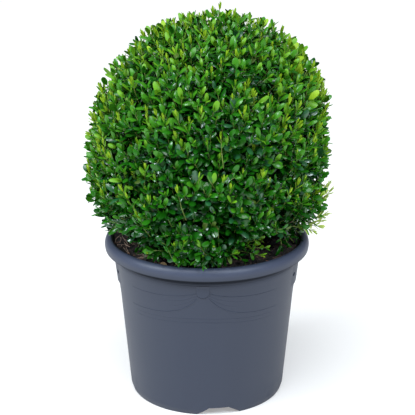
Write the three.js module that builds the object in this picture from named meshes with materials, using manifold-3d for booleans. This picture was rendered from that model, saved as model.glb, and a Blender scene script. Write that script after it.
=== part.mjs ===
// A clipped box ball (Buxus) growing in a round container pot: the pot, its potting soil, a short trunk with
// its root flare, six boughs, and the six masses of foliage that the boughs carry.
// Millimetres, +Z up. The origin is on the ground, on the pot's axis, and the front faces -Y.
// An azimuth is measured from the front towards +X, and a polar angle down from straight up.

import * as THREE from "three";
import { mergeVertices } from "three/addons/utils/BufferGeometryUtils.js";
import Module from "manifold-3d";

const wasm = await Module();
wasm.setup();

// ---------------------------------------------------------------- driving dimensions

const CLEARANCE = 0.3; // between two pieces that touch

const POT = {
  height: 262,
  rimRadius: 165, // over the rolled rim
  rimDepth: 20, // of the rim's outer face
  rimWidth: 11, // from the rim's outer face to its mouth
  rimRound: 9, // of the rim's top outer edge, and its height is a third more
  neckRadius: 149.5, // outside of the wall, just under the rim
  bandHeight: 165, // of the faint line where the taper changes
  bandRadius: 140.3,
  bandStep: 0.7,
  footRadius: 126.3, // at the top of the foot's bevel
  footBevel: { height: 9, width: 2.8 },
  footWidth: 5.5, // of the ring that the pot stands on
  floorRaise: 14, // of the underside over the ground
  wall: 3,
  sides: 36,
  turn: -3, // azimuth of the pot's own front, in degrees
};

const DRAIN = { count: 6, radius: 6, circle: 82, sides: 8 };
// The arches cut in the foot ring, in degrees of azimuth from their own middle.
const ARCH = { middles: [10, 130, 250], footHalf: 15.7, topHalf: 7.9, height: 12 };
// A raised pad under the rim on each side, with two blind holes for a carrying strap.
const PAD = { facets: 4, foot: 186, thickness: 3, slope: 6 };
const STRAP_HOLE = { radius: 3.5, depth: 4.5, height: 200, fromMiddle: 11, sides: 8 };

const SOIL = { edgeHeight: 244, middleHeight: 250, flatRadius: 24, lumps: 2.2 };

// The trunk stands on the soil, swells into a head where it forks, and leans a little.
const TRUNK = {
  flareRadius: 20,
  waistRadius: 12.5,
  waistHeight: 30,
  headRadius: 18,
  headHeight: 52,
  lobes: 5,
  lobeDepth: 2.6,
  lean: 4, // sideways at the head
  sides: 12,
};

const BOUGH = { radius: 5.2, tipRadius: 4, tipShare: 0.37, sides: 7, steps: 5 };

// The clipped surface: half of a superellipsoid above its widest height and half of a squarer one below.
const CROWN = {
  centre: new THREE.Vector3(0, 0, 400),
  radius: 189,
  above: { height: 220, power: 2.17 },
  below: { height: 155, power: 4 },
  lean: 11, // of the upper part towards +X
  leanHeight: 110, // over which it comes in
  swell: 0.018, // of the shears' long waves, as a share of the radius
};

const MASS = {
  topPolar: 41, // where the top mass meets the five side ones
  lowestPolar: 148, // of the side masses' cores
  sideCount: 5,
  seamWave: 5, // degrees
  seamGap: 1.1, // degrees, from the core's edge to the seam
  innerShare: 0.47,
  coreShare: 0.75,
  edgeDrop: 0.06,
  coreSteps: { round: 5, down: 6 },
  topSides: 15,
  stemSides: 6,
};

// Each sprig is a short twig that stands out of the core, with pairs of leaves set crosswise along it.
const SPRIG = {
  count: 157, // on a whole sphere
  skirt: { count: 20, polar: 129 }, // a ring of more, which hang over the soil
  rootShare: 0.7,
  rise: 0.5, // towards the light, beside 1 outwards, on the crown's upper side
  lowRise: -0.1, // and on its underside
  undersidePolar: 110, // where that begins
  lowestPolar: 158, // so that the trunk stays clear
  radius: 2,
  seamRoom: 7, // from its tip to its mass's seams
  pairs: [
    { along: 0.6, splay: 60, length: 47 },
    { along: 0.97, splay: 33, length: 45 },
  ],
  splayScatter: 12, // degrees
  lengthScatter: 0.2,
  turns: 6, // tried for each pair, until both of its leaves have room
};
// A leaf is a kite folded along its midrib. The shares are of its length.
const LEAF = { width: 0.52, fold: 0.07, widest: 0.5 };
const SEAM_ROOM = 0.9; // from a leaf's corner to the seam of its mass
const OUTSIDE_ROOM = 7; // of a leaf's tip over the clipped surface

// Shoots that have outgrown the clipping, by so many millimetres.
const STRAY_SHOOTS = [
  { mass: "foliage_top", azimuth: 90, polar: 3, beyond: 17 },
  { mass: "foliage_right", azimuth: 84, polar: 106, beyond: 10 },
  { mass: "foliage_right", azimuth: 78, polar: 121, beyond: 12 },
  { mass: "foliage_left", azimuth: -86, polar: 102, beyond: 8 },
  { mass: "foliage_back_left", azimuth: 204, polar: 84, beyond: 6 },
  { mass: "foliage_front", azimuth: -12, polar: 88, beyond: 5 },
];

const MATERIALS = {
  pot: new THREE.MeshStandardMaterial({ color: 0x555c6b, roughness: 0.45, metalness: 0 }),
  soil: new THREE.MeshStandardMaterial({ color: 0x2b211b, roughness: 1, metalness: 0 }),
  bark: new THREE.MeshStandardMaterial({ color: 0x7a6a52, roughness: 0.9, metalness: 0 }),
  foliage: new THREE.MeshStandardMaterial({ color: 0x2f6a1c, roughness: 0.4, metalness: 0 }),
};

// ---------------------------------------------------------------- small helpers

const radians = THREE.MathUtils.degToRad;
const UP = new THREE.Vector3(0, 0, 1);

// A generator of repeatable random numbers from 0 to 1.
function randomFrom(seed) {
  let state = seed >>> 0;
  return () => {
    state = (state + 0x6d2b79f5) >>> 0;
    let t = Math.imul(state ^ (state >>> 15), 1 | state);
    t = (t + Math.imul(t ^ (t >>> 7), 61 | t)) ^ t;
    return ((t ^ (t >>> 14)) >>> 0) / 4294967296;
  };
}

function around(azimuth, radius, height) {
  const a = radians(azimuth);
  return new THREE.Vector3(radius * Math.sin(a), -radius * Math.cos(a), height);
}

function azimuthOf(point) {
  return THREE.MathUtils.radToDeg(Math.atan2(point.x, -point.y));
}

// The difference between two azimuths, from -180 to 180 degrees.
function turnBetween(a, b) {
  return THREE.MathUtils.euclideanModulo(a - b + 180, 360) - 180;
}

// Moves each vertex of a geometry to where place() puts it.
function reshape(geometry, place) {
  const positions = geometry.attributes.position;
  const point = new THREE.Vector3();
  for (let i = 0; i < positions.count; i++) {
    point.fromBufferAttribute(positions, i);
    const moved = place(point);
    positions.setXYZ(i, moved.x, moved.y, moved.z);
  }
  return geometry;
}

// A closed geometry as a manifold-3d solid. One that faces inwards is turned round.
function solid(geometry) {
  const bare = geometry.clone();
  bare.deleteAttribute("normal");
  bare.deleteAttribute("uv");
  const merged = mergeVertices(bare, 1e-4);
  const vertProperties = merged.attributes.position.array;
  const triVerts = new Uint32Array(merged.index.array);
  const made = new wasm.Manifold(new wasm.Mesh({ numProp: 3, vertProperties, triVerts }));
  if (made.volume() > 0) return made;
  for (let i = 0; i < triVerts.length; i += 3) {
    [triVerts[i + 1], triVerts[i + 2]] = [triVerts[i + 2], triVerts[i + 1]];
  }
  return new wasm.Manifold(new wasm.Mesh({ numProp: 3, vertProperties, triVerts }));
}

function meshOf(name, made, material) {
  const { vertProperties, triVerts } = made.getMesh();
  const geometry = new THREE.BufferGeometry();
  geometry.setAttribute("position", new THREE.BufferAttribute(vertProperties, 3));
  geometry.setIndex(new THREE.BufferAttribute(triVerts, 1));
  geometry.computeVertexNormals();
  const mesh = new THREE.Mesh(geometry, material);
  mesh.name = name;
  return mesh;
}

// A profile of [radius, height] pairs turned about the Z axis, with a corner at an azimuth.
function turned(profile, sides, azimuth = 0) {
  const points = profile.map(([radius, height]) => new THREE.Vector2(radius, height));
  return new THREE.LatheGeometry(points, sides, radians(azimuth)).rotateX(Math.PI / 2);
}

// A limb of round section along a curve, tapering evenly, with flat ends.
function limb(curve, radius, tipRadius, sides, steps) {
  const across = new THREE.Vector3(0.31, 0.17, 0.93).cross(curve.getTangent(0)).normalize();
  return reshape(new THREE.CylinderGeometry(1, 1, 1, sides, steps), (p) => {
    const t = THREE.MathUtils.clamp(p.y + 0.5, 0, 1);
    const along = curve.getTangent(t);
    const side = across.clone().addScaledVector(along, -across.dot(along)).normalize();
    const other = along.clone().cross(side);
    const r = THREE.MathUtils.lerp(radius, tipRadius, t);
    return curve.getPoint(t).addScaledVector(side, p.x * r).addScaledVector(other, p.z * r);
  });
}

// ---------------------------------------------------------------- the pot

// Outer radius of the pot's wall at a height, from the foot's bevel to under the rim.
function wallRadius(height) {
  const { footBevel, bandHeight, footRadius, bandRadius, neckRadius } = POT;
  if (height <= bandHeight) {
    return THREE.MathUtils.mapLinear(height, footBevel.height, bandHeight, footRadius, bandRadius);
  }
  return THREE.MathUtils.mapLinear(height, bandHeight, POT.height - POT.rimDepth, bandRadius, neckRadius);
}

function potProfile() {
  const { height, rimRadius, rimDepth, rimWidth, rimRound, footBevel, footWidth, floorRaise, wall } = POT;
  const footOuter = POT.footRadius - footBevel.width;
  const rimFoot = height - rimDepth;
  const mouth = rimRadius - rimWidth;
  const rimTop = [];
  for (let step = 0; step <= 4; step++) {
    const a = (step / 4) * (Math.PI / 2);
    rimTop.push([
      rimRadius - rimRound * (1 - Math.cos(a)),
      height - rimRound * 1.35 * (1 - Math.sin(a)),
    ]);
  }
  return [
    [0, floorRaise],
    [footOuter - footWidth + 1, floorRaise],
    [footOuter - footWidth, 0],
    [footOuter, 0],
    [POT.footRadius, footBevel.height],
    [POT.bandRadius, POT.bandHeight],
    [POT.bandRadius + POT.bandStep, POT.bandHeight + POT.bandStep],
    [POT.neckRadius, rimFoot],
    [rimRadius - 1.5, rimFoot],
    [rimRadius, rimFoot + 1.5],
    ...rimTop,
    [mouth, height - 1],
    [mouth - 1.5, height - 4],
    [POT.neckRadius - wall, rimFoot],
    [wallRadius(POT.bandHeight) - wall, POT.bandHeight],
    [wallRadius(floorRaise + 2 * wall) - wall, floorRaise + 2 * wall],
    [POT.footRadius - 2 * wall, floorRaise + wall],
    [0, floorRaise + wall],
  ];
}

// A block across the foot ring, between two azimuths that close in towards its top. It cuts one arch.
function archCutter(middle) {
  const reach = { inner: POT.footRadius - 16, outer: POT.footRadius + 14, below: 1 };
  const spread = (ARCH.footHalf - ARCH.topHalf) / ARCH.height; // degrees in each millimetre
  return reshape(new THREE.BoxGeometry(1, 1, 1), (p) => {
    const height = p.z > 0 ? ARCH.height : -reach.below;
    const half = ARCH.footHalf - spread * height;
    return around(middle + 2 * p.x * half, p.y > 0 ? reach.outer : reach.inner, height);
  });
}

// The raised pad follows the wall's own facets, and its lower edge slopes back into it.
function padGeometry(middle) {
  const top = POT.height - POT.rimDepth + 1;
  return reshape(new THREE.BoxGeometry(1, 1, 1, PAD.facets, 1, 1), (p) => {
    const azimuth = middle + (p.x * PAD.facets * 360) / POT.sides;
    const outside = p.y > 0;
    const height = p.z > 0 ? top : PAD.foot - (outside ? 0 : PAD.slope);
    return around(azimuth, wallRadius(height) + (outside ? PAD.thickness : -1), height);
  });
}

// A drill that stands square to the pad, as deep inside its face as it stands out.
function strapHole(azimuth) {
  const { radius, depth, height, sides } = STRAP_HOLE;
  const drill = new THREE.CylinderGeometry(radius, radius, 2 * depth, sides);
  drill.rotateZ(Math.PI / 2).rotateZ(radians(azimuth - 90));
  const at = around(azimuth, wallRadius(height) + PAD.thickness, height);
  return drill.translate(at.x, at.y, at.z);
}

function makePot() {
  let pot = solid(turned(potProfile(), POT.sides, POT.turn));
  for (const side of [90, -90]) {
    const middle = POT.turn + side;
    pot = pot.add(solid(padGeometry(middle)));
    for (const way of [-1, 1]) {
      pot = pot.subtract(solid(strapHole(middle + way * STRAP_HOLE.fromMiddle)));
    }
  }
  for (const middle of ARCH.middles) pot = pot.subtract(solid(archCutter(middle)));
  for (let i = 0; i < DRAIN.count; i++) {
    const at = around((i + 0.5) * (360 / DRAIN.count), DRAIN.circle, POT.floorRaise);
    const drill = new THREE.CylinderGeometry(DRAIN.radius, DRAIN.radius, 4 * POT.wall, DRAIN.sides);
    pot = pot.subtract(solid(drill.rotateX(Math.PI / 2).translate(at.x, at.y, at.z)));
  }
  return pot;
}

// ---------------------------------------------------------------- the soil and the trunk

// A plug that fills the pot, a little lumpy on top and flat round the trunk's foot.
function makeSoil() {
  const inside = (height) => wallRadius(height) - POT.wall - CLEARANCE - 0.3;
  const { edgeHeight, middleHeight, flatRadius } = SOIL;
  const floor = POT.floorRaise + POT.wall + CLEARANCE;
  const edge = POT.neckRadius - POT.wall - 0.6;
  const profile = [
    [0, floor],
    [POT.footRadius - 2 * POT.wall - 1, floor],
    [inside(floor + POT.wall) - 0.2, floor + POT.wall],
    [inside(POT.bandHeight), POT.bandHeight],
    [edge, edgeHeight - 4],
    [edge, edgeHeight],
    ...[0.85, 0.5].map((share) => [
      share * edge,
      THREE.MathUtils.lerp(middleHeight, edgeHeight, share),
    ]),
    [flatRadius, middleHeight],
    [0, middleHeight],
  ];
  const geometry = reshape(turned(profile, POT.sides, POT.turn), (p) => {
    const radius = Math.hypot(p.x, p.y);
    if (p.z < edgeHeight - 1 || radius < flatRadius + 1 || radius > edge - 1) return p;
    const azimuth = radians(azimuthOf(p));
    const lump = Math.sin(5 * azimuth + radius / 9) + Math.sin(11 * azimuth - radius / 5);
    return p.setZ(p.z + (SOIL.lumps * lump) / 2);
  });
  return solid(geometry);
}

const TRUNK_FOOT = SOIL.middleHeight + CLEARANCE;
const FORK = new THREE.Vector3(TRUNK.lean, 0, TRUNK_FOOT + TRUNK.headHeight);

// The trunk's skin, grown outwards by an amount, so that it can cut the boughs clear of itself.
function trunkGeometry(grown = 0) {
  const { flareRadius, waistRadius, waistHeight, headRadius, headHeight } = TRUNK;
  const profile = [
    [0, 0],
    [flareRadius + grown, 0],
    [THREE.MathUtils.lerp(flareRadius, waistRadius, 0.55) + grown, 6],
    [THREE.MathUtils.lerp(flareRadius, waistRadius, 0.88) + grown, 15],
    [waistRadius + grown, waistHeight],
  ];
  for (let degrees = -40; degrees < 90; degrees += 26) {
    const a = radians(degrees);
    const r = headRadius + grown;
    profile.push([r * Math.cos(a), headHeight + r * Math.sin(a)]);
  }
  profile.push([0, headHeight + headRadius + grown]);
  return reshape(turned(profile, TRUNK.sides), (p) => {
    const low = Math.max(0, 1 - p.z / waistHeight);
    const lobed = 1 + (TRUNK.lobeDepth / flareRadius) * low * Math.cos(TRUNK.lobes * radians(azimuthOf(p)));
    return new THREE.Vector3(
      p.x * lobed + TRUNK.lean * (p.z / headHeight),
      p.y * lobed,
      p.z + TRUNK_FOOT,
    );
  });
}

// ---------------------------------------------------------------- the crown's clipped surface

// How far the clipped surface is from the crown's centre in a direction.
function crownReach(direction) {
  const half = direction.z >= 0 ? CROWN.above : CROWN.below;
  const level = Math.hypot(direction.x, direction.y) / CROWN.radius;
  const upright = Math.abs(direction.z) / half.height;
  const even = (level ** half.power + upright ** half.power) ** (-1 / half.power);
  const azimuth = radians(azimuthOf(direction));
  const waves = Math.sin(3 * azimuth + 1) * Math.sin(4 * direction.z) + Math.cos(5 * azimuth) * direction.z;
  return even * (1 + CROWN.swell * waves * (1 - direction.z ** 2));
}

// How far the crown leans towards +X at a height.
function leanAt(height) {
  return CROWN.lean * THREE.MathUtils.smoothstep(height - CROWN.centre.z, 0, CROWN.leanHeight);
}

// The point at a share of the way from the crown's centre to its clipped surface.
function crownPoint(azimuth, polar, share) {
  const p = radians(polar);
  const direction = around(azimuth, Math.sin(p), Math.cos(p));
  const point = direction.clone().multiplyScalar(share * crownReach(direction)).add(CROWN.centre);
  point.x += leanAt(point.z);
  return point;
}

// The azimuth, polar angle and share of a point, the other way round.
function crownPlace(point) {
  const from = point.clone().sub(CROWN.centre);
  from.x -= leanAt(point.z);
  const distance = from.length();
  const direction = from.divideScalar(distance);
  return {
    azimuth: azimuthOf(direction),
    polar: THREE.MathUtils.radToDeg(Math.acos(direction.z)),
    share: distance / crownReach(direction),
    distance,
  };
}

// ---------------------------------------------------------------- the spaces of the masses

const SECTOR = 360 / MASS.sideCount;

// Where the seam after side mass number i runs, at a polar angle.
function seamAzimuth(i, polar) {
  const number = THREE.MathUtils.euclideanModulo(i, MASS.sideCount);
  return (i + 0.5) * SECTOR + MASS.seamWave * Math.sin(radians(3.2 * polar) + 1.7 * number);
}

// Where the top mass ends, at an azimuth.
function topEdge(azimuth) {
  return MASS.topPolar + 0.7 * MASS.seamWave * Math.sin(radians(5 * azimuth) + 0.6);
}

const LOWEST_LEAF = SOIL.middleHeight + 4;
const SIDE_NAMES = ["front", "right", "back_right", "back_left", "left"];

// True if a point is in the mass's own space, clear of its seams by an amount in millimetres, and no
// further than another amount outside of the clipped surface.
function inSpace(mass, point, room, beyond) {
  const { azimuth, polar, share, distance } = crownPlace(point);
  const polarRoom = THREE.MathUtils.radToDeg(room / distance);
  const fromTop = polar - topEdge(azimuth);
  const level = Math.hypot(point.x, point.y);
  const clearOfPot = level < POT.rimRadius - POT.rimWidth - 5 || point.z > POT.height + 3;
  if (distance * (1 - 1 / share) > beyond || point.z < LOWEST_LEAF || !clearOfPot) return false;
  if (mass.side === null) return fromTop < -polarRoom;
  if (fromTop < polarRoom) return false;
  const azimuthRoom = polarRoom / Math.sin(radians(polar));
  const before = turnBetween(azimuth, seamAzimuth(mass.side - 1, polar));
  const after = turnBetween(seamAzimuth(mass.side, polar), azimuth);
  return before > azimuthRoom && after > azimuthRoom && before < 180 && after < 180;
}

// How deep in the crown a core's inner and outer skins lie. The outer one is eased back towards its edges.
function coreDepth(outer, edge) {
  return outer ? MASS.coreShare * (1 - MASS.edgeDrop * edge ** 4) : MASS.innerShare;
}

// A side mass's core: a block bent round the crown's centre, between its two seams.
function sideCore(side) {
  const azimuthAt = (between, polar) => {
    const gap = MASS.seamGap / Math.sin(radians(polar));
    return THREE.MathUtils.lerp(seamAzimuth(side - 1, polar) + gap, seamAzimuth(side, polar) - gap, between);
  };
  const block = new THREE.BoxGeometry(2, 2, 2, MASS.coreSteps.round, MASS.coreSteps.down, 1);
  return reshape(block, (p) => {
    const between = (1 + p.x) / 2;
    const down = (1 - p.y) / 2;
    const top = topEdge(azimuthAt(between, MASS.topPolar)) + MASS.seamGap;
    const polar = THREE.MathUtils.lerp(top, MASS.lowestPolar, down);
    const edge = Math.max(Math.abs(p.x), Math.abs(p.y));
    return crownPoint(azimuthAt(between, polar), polar, coreDepth(p.z > 0, edge));
  });
}

// The top mass's core: a thick bowl, upside down.
function topCore() {
  const rings = [0, 0.5, 1];
  const profile = [...rings.map((r) => [r, 0]), ...rings.reverse().map((r) => [r, 1])];
  return reshape(turned(profile, MASS.topSides), (p) => {
    const radius = Math.hypot(p.x, p.y);
    const azimuth = azimuthOf(p);
    const polar = radius * (topEdge(azimuth) - MASS.seamGap);
    return crownPoint(azimuth, polar, coreDepth(p.z > 0.5, radius));
  });
}

// ---------------------------------------------------------------- twigs and leaves

// One leaf: a kite, folded along its midrib so that its sides droop, and flat below.
function leafSolid(root, along, up, length) {
  const across = along.clone().cross(up).normalize();
  const face = across.clone().cross(along).normalize();
  const half = (length * LEAF.width) / 2;
  const tip = root.clone().addScaledVector(along, length);
  const middle = root.clone().lerp(tip, LEAF.widest).addScaledVector(face, -length * LEAF.fold);
  const sides = [half, -half].map((out) => middle.clone().addScaledVector(across, out));
  const points = [root, tip, ...sides];
  const geometry = new THREE.BufferGeometry().setFromPoints(points);
  geometry.setIndex([0, 1, 2, 0, 3, 1, 0, 2, 3, 1, 3, 2]);
  return { made: solid(geometry), tip, sides };
}

function twigSolid(from, to, radius, tipRadius) {
  return solid(limb(new THREE.LineCurve3(from, to), radius, tipRadius, 3, 1));
}

// The two opposite leaves of a pair, or the one of them that has room: in the mass's space, and across no
// leaf that has already grown.
function growPair(mass, at, along, turn, size, beyond, leaves) {
  const aside = along.clone().cross(UP).normalize();
  const grown = [];
  for (const way of [0, Math.PI]) {
    const out = aside.clone().applyAxisAngle(along, turn + way);
    const reach = along.clone().applyAxisAngle(along.clone().cross(out), size.splay);
    const leaf = leafSolid(at, reach, along, size.length);
    const fits = [leaf.tip, ...leaf.sides].every((p) => inSpace(mass, p, SEAM_ROOM, beyond));
    const crosses = leaves.some((other) => !other.intersect(leaf.made).isEmpty());
    if (fits && !crosses) grown.push(leaf.made);
  }
  return grown;
}

// A sprig: a twig from its root in the core to its tip, with pairs of leaves set crosswise along it, each
// turned to where it has the most room.
function growSprig(mass, root, tip, beyond, leaves, random) {
  const along = tip.clone().sub(root).normalize();
  const turn = random() * Math.PI;
  const own = [];
  SPRIG.pairs.forEach((pair, number) => {
    const at = root.clone().lerp(tip, pair.along);
    const splay = radians(pair.splay + SPRIG.splayScatter * (random() - 0.5));
    const length = pair.length * (1 + SPRIG.lengthScatter * (random() - 0.5));
    let best = [];
    for (let i = 0; i < SPRIG.turns && best.length < 2; i++) {
      const tried = turn + (number * Math.PI) / 2 + (i * Math.PI) / SPRIG.turns;
      const found = growPair(mass, at, along, tried, { splay, length }, beyond, leaves);
      if (found.length > best.length) best = found;
    }
    own.push(...best);
  });
  leaves.push(...own);
  return twigSolid(root, tip, SPRIG.radius, SPRIG.radius * 0.8);
}

// The widest way in which a set of points spreads, of the three axes.
function widestAxis(points) {
  const box = new THREE.Box3().setFromPoints(points);
  const size = box.getSize(new THREE.Vector3());
  return ["x", "y", "z"].reduce((a, b) => (size[b] > size[a] ? b : a));
}

// Branching: the twig parts its targets in two across their widest spread, runs half of the way to the
// middle of each half, and does the same from there, until each branch has one target.
function branch(from, targets, twigs) {
  if (targets.length === 1) {
    twigs.push({ from, to: targets[0], targets: 1 });
    return;
  }
  const axis = widestAxis(targets);
  const sorted = [...targets].sort((a, b) => a[axis] - b[axis]);
  const half = Math.ceil(sorted.length / 2);
  for (const group of [sorted.slice(0, half), sorted.slice(half)]) {
    const middle = group.reduce((sum, p) => sum.add(p), new THREE.Vector3()).divideScalar(group.length);
    const node = from.clone().lerp(middle, 0.5);
    twigs.push({ from, to: node, targets: group.length });
    branch(node, group, twigs);
  }
}

// A twig is as thick as the sprigs that it feeds ask for.
function twigRadius(targets) {
  return Math.min(BOUGH.tipRadius * 0.9, SPRIG.radius * targets ** 0.4);
}

// Sprig number i of an even spiral over the whole sphere, with a little scatter.
function evenSite(i, random) {
  const polar = THREE.MathUtils.radToDeg(Math.acos(1 - (2 * (i + 0.5)) / SPRIG.count));
  const golden = 137.508;
  return { azimuth: i * golden + 5 * (random() - 0.5), polar: polar + 4 * (random() - 0.5), beyond: 0 };
}

// Sprig number i of the low ring.
function skirtSite(i) {
  return { azimuth: ((i + 0.4) * 360) / SPRIG.skirt.count, polar: SPRIG.skirt.polar, beyond: 0 };
}

// The tip of a sprig whose last leaves end at the clipped surface. It rises as much as its mass has room for.
function sprigTip(mass, root, surface, beyond, rise) {
  const last = SPRIG.pairs.at(-1);
  const leafReach = last.length * Math.cos(radians(last.splay));
  for (const share of [1, 0.5, 0, -0.5]) {
    const way = surface.clone().sub(CROWN.centre).normalize().addScaledVector(UP, share * rise).normalize();
    const tip = root.clone().addScaledVector(way, surface.distanceTo(root) + beyond - leafReach);
    if (inSpace(mass, tip, SPRIG.seamRoom, 0)) return tip;
  }
  return null;
}

// A mass of foliage: its core, its stem from the bough's tip, its branching twigs, and its sprigs.
function makeMass(mass, stemFoot, stemWay, sites, random) {
  const core = solid(mass.side === null ? topCore() : sideCore(mass.side));
  const stemTop = crownPoint(mass.azimuth, mass.polar, (MASS.innerShare + MASS.coreShare) / 2);
  const stemBend = stemFoot.clone().addScaledVector(stemWay, 0.4 * stemFoot.distanceTo(stemTop));
  const stem = new THREE.QuadraticBezierCurve3(stemFoot, stemBend, stemTop);
  const wood = [core, solid(limb(stem, BOUGH.tipRadius, BOUGH.tipRadius * 0.85, MASS.stemSides, 3))];
  const roots = [];
  const leaves = [];
  for (const { azimuth, polar, beyond } of sites) {
    const root = crownPoint(azimuth, polar, SPRIG.rootShare);
    const rise = polar > SPRIG.undersidePolar ? SPRIG.lowRise : SPRIG.rise;
    const tip = sprigTip(mass, root, crownPoint(azimuth, polar, 1), beyond, rise);
    if (tip === null) continue;
    roots.push(root);
    wood.push(growSprig(mass, root, tip, beyond + OUTSIDE_ROOM, leaves, random));
  }
  const twigs = [];
  branch(stemTop, roots, twigs);
  for (const { from, to, targets } of twigs) {
    wood.push(twigSolid(from, to, twigRadius(targets), SPRIG.radius));
  }
  return wasm.Manifold.union([...wood, ...leaves]);
}

// ---------------------------------------------------------------- the plant, put together

const MASSES = [
  { name: "foliage_top", bough: "bough_top", side: null, azimuth: 90, polar: 4 },
  ...SIDE_NAMES.map((where, side) => ({
    name: "foliage_" + where,
    bough: "bough_" + where,
    side,
    azimuth: side * SECTOR,
    polar: 92,
  })),
];

// The bough's curve, from inside the trunk's head to just inside the crown's hollow.
function boughCurve(mass) {
  const tip = crownPoint(mass.azimuth, mass.polar, BOUGH.tipShare);
  const way = tip.clone().sub(FORK).normalize();
  const start = FORK.clone().addScaledVector(way, TRUNK.headRadius * 0.6);
  const bend = start.clone().lerp(tip, 0.45);
  if (mass.side !== null) bend.add(around(mass.azimuth, 9, -9));
  return new THREE.QuadraticBezierCurve3(start, bend, tip);
}

// The sites of each mass's sprigs: the even ones that are in its space, and those of its stray shoots.
function siteLists(random) {
  const lists = new Map(MASSES.map((mass) => [mass.name, []]));
  for (const shoot of STRAY_SHOOTS) lists.get(shoot.mass).push(shoot);
  const { count, skirt } = SPRIG;
  for (let i = 0; i < count + skirt.count; i++) {
    const site = i < count ? evenSite(i, random) : skirtSite(i - count);
    if (site.polar > SPRIG.lowestPolar) continue;
    const at = crownPoint(site.azimuth, site.polar, MASS.coreShare);
    const owner = MASSES.find((mass) => inSpace(mass, at, 2 * SPRIG.radius, 0));
    if (owner) lists.get(owner.name).push(site);
  }
  return lists;
}

const random = randomFrom(7);
const plant = new THREE.Group();
plant.add(meshOf("pot", makePot(), MATERIALS.pot));
plant.add(meshOf("potting_soil", makeSoil(), MATERIALS.soil));
plant.add(meshOf("trunk", solid(trunkGeometry()), MATERIALS.bark));

const headCutter = solid(trunkGeometry(CLEARANCE));
const sites = siteLists(random);
for (const mass of MASSES) {
  const curve = boughCurve(mass);
  const bough = solid(limb(curve, BOUGH.radius, BOUGH.tipRadius, BOUGH.sides, BOUGH.steps));
  plant.add(meshOf(mass.bough, bough.subtract(headCutter), MATERIALS.bark));
  const stemWay = curve.getTangent(1);
  const stemFoot = curve.getPoint(1).addScaledVector(stemWay, CLEARANCE);
  const made = makeMass(mass, stemFoot, stemWay, sites.get(mass.name), random);
  plant.add(meshOf(mass.name, made, MATERIALS.foliage));
}

export default plant;
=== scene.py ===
"""A clipped box ball (Buxus) in a round container pot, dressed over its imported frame.

The wood and the foliage grow here by the same rules as the solids that they stand for, and are carried on
to finer twigs and to leaves of their real size. Metres, +Z up, with the origin on the ground on the pot's
axis and the front facing -Y. An azimuth is measured from the front towards +X, and a polar angle down from
straight up.
"""

import logging
import math
from dataclasses import dataclass, field, fields
from enum import Enum
from typing import Any, Callable, Iterable, Sequence, Union

import bmesh
import bpy
import numpy as np
from mathutils import Matrix, Vector, noise


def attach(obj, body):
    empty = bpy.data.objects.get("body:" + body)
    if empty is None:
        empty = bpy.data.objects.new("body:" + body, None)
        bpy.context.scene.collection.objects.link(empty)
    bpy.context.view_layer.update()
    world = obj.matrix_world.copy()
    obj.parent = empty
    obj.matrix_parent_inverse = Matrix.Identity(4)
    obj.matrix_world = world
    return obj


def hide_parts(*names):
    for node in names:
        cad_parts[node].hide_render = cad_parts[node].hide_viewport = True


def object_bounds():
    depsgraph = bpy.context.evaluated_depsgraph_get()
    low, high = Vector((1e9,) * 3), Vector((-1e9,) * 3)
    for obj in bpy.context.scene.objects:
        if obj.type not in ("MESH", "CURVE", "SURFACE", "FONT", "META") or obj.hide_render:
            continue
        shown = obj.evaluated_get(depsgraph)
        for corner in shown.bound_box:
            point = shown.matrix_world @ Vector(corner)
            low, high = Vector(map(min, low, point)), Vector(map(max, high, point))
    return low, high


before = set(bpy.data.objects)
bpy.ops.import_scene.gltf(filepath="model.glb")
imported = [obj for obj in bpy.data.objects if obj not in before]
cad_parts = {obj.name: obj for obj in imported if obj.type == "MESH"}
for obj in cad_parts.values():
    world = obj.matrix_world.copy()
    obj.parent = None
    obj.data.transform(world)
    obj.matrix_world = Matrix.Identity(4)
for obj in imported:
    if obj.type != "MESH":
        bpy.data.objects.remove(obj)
CAD_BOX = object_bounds()

LOG = logging.getLogger("box_ball")
MM = 0.001
UP = np.array([0.0, 0.0, 1.0])
FRONT = np.array([0.0, -1.0, 0.0])
FULL_TURN = 2 * math.pi
GOLDEN_TURN = 137.508  # degrees between two sites of an even spiral

Array = np.ndarray
Random = np.random.Generator
Shape = bmesh.types.BMesh
Piece = bpy.types.Object
Material = bpy.types.Material
Place = Callable[[Vector], Vector]
Value = Union["Signal", float, tuple]


class Slot(Enum):
    """The record's material slots."""

    PLASTIC = "pot_plastic"
    SOIL = "potting_soil"
    BARK = "bark"
    LEAVES = "leaves"


# ---- small helpers


def around(azimuth: float, radius: float, height: float) -> Vector:
    """The point at an azimuth in degrees, a radius and a height."""
    turn = math.radians(azimuth)
    return Vector((radius * math.sin(turn), -radius * math.cos(turn), height))


def blend(start: float, end: float, share: float) -> float:
    """The value at a share of the way from start to end."""
    return start + (end - start) * share


def smooth_step(share: Any) -> Any:
    """An S-shaped rise from 0 to 1, held at both ends."""
    held = np.clip(share, 0.0, 1.0)
    return held * held * (3 - 2 * held)


def unit(vectors: Array) -> Array:
    """Each row of an array as a vector of length one."""
    return vectors / np.linalg.norm(vectors, axis=-1, keepdims=True)


def hand_over(piece: Piece, slot: Slot, nodes: Iterable[str] = ()) -> Piece:
    """Sets a finished piece on the part's body.

    Args:
        piece: The piece, in place.
        slot: Not used.
        nodes: The solids that it stands for.

    Returns:
        The same piece.
    """
    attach(piece, "root")
    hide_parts(*nodes)
    LOG.info("%s: %d faces", piece.name, len(piece.data.polygons))
    return piece


# ---- shader expressions


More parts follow.
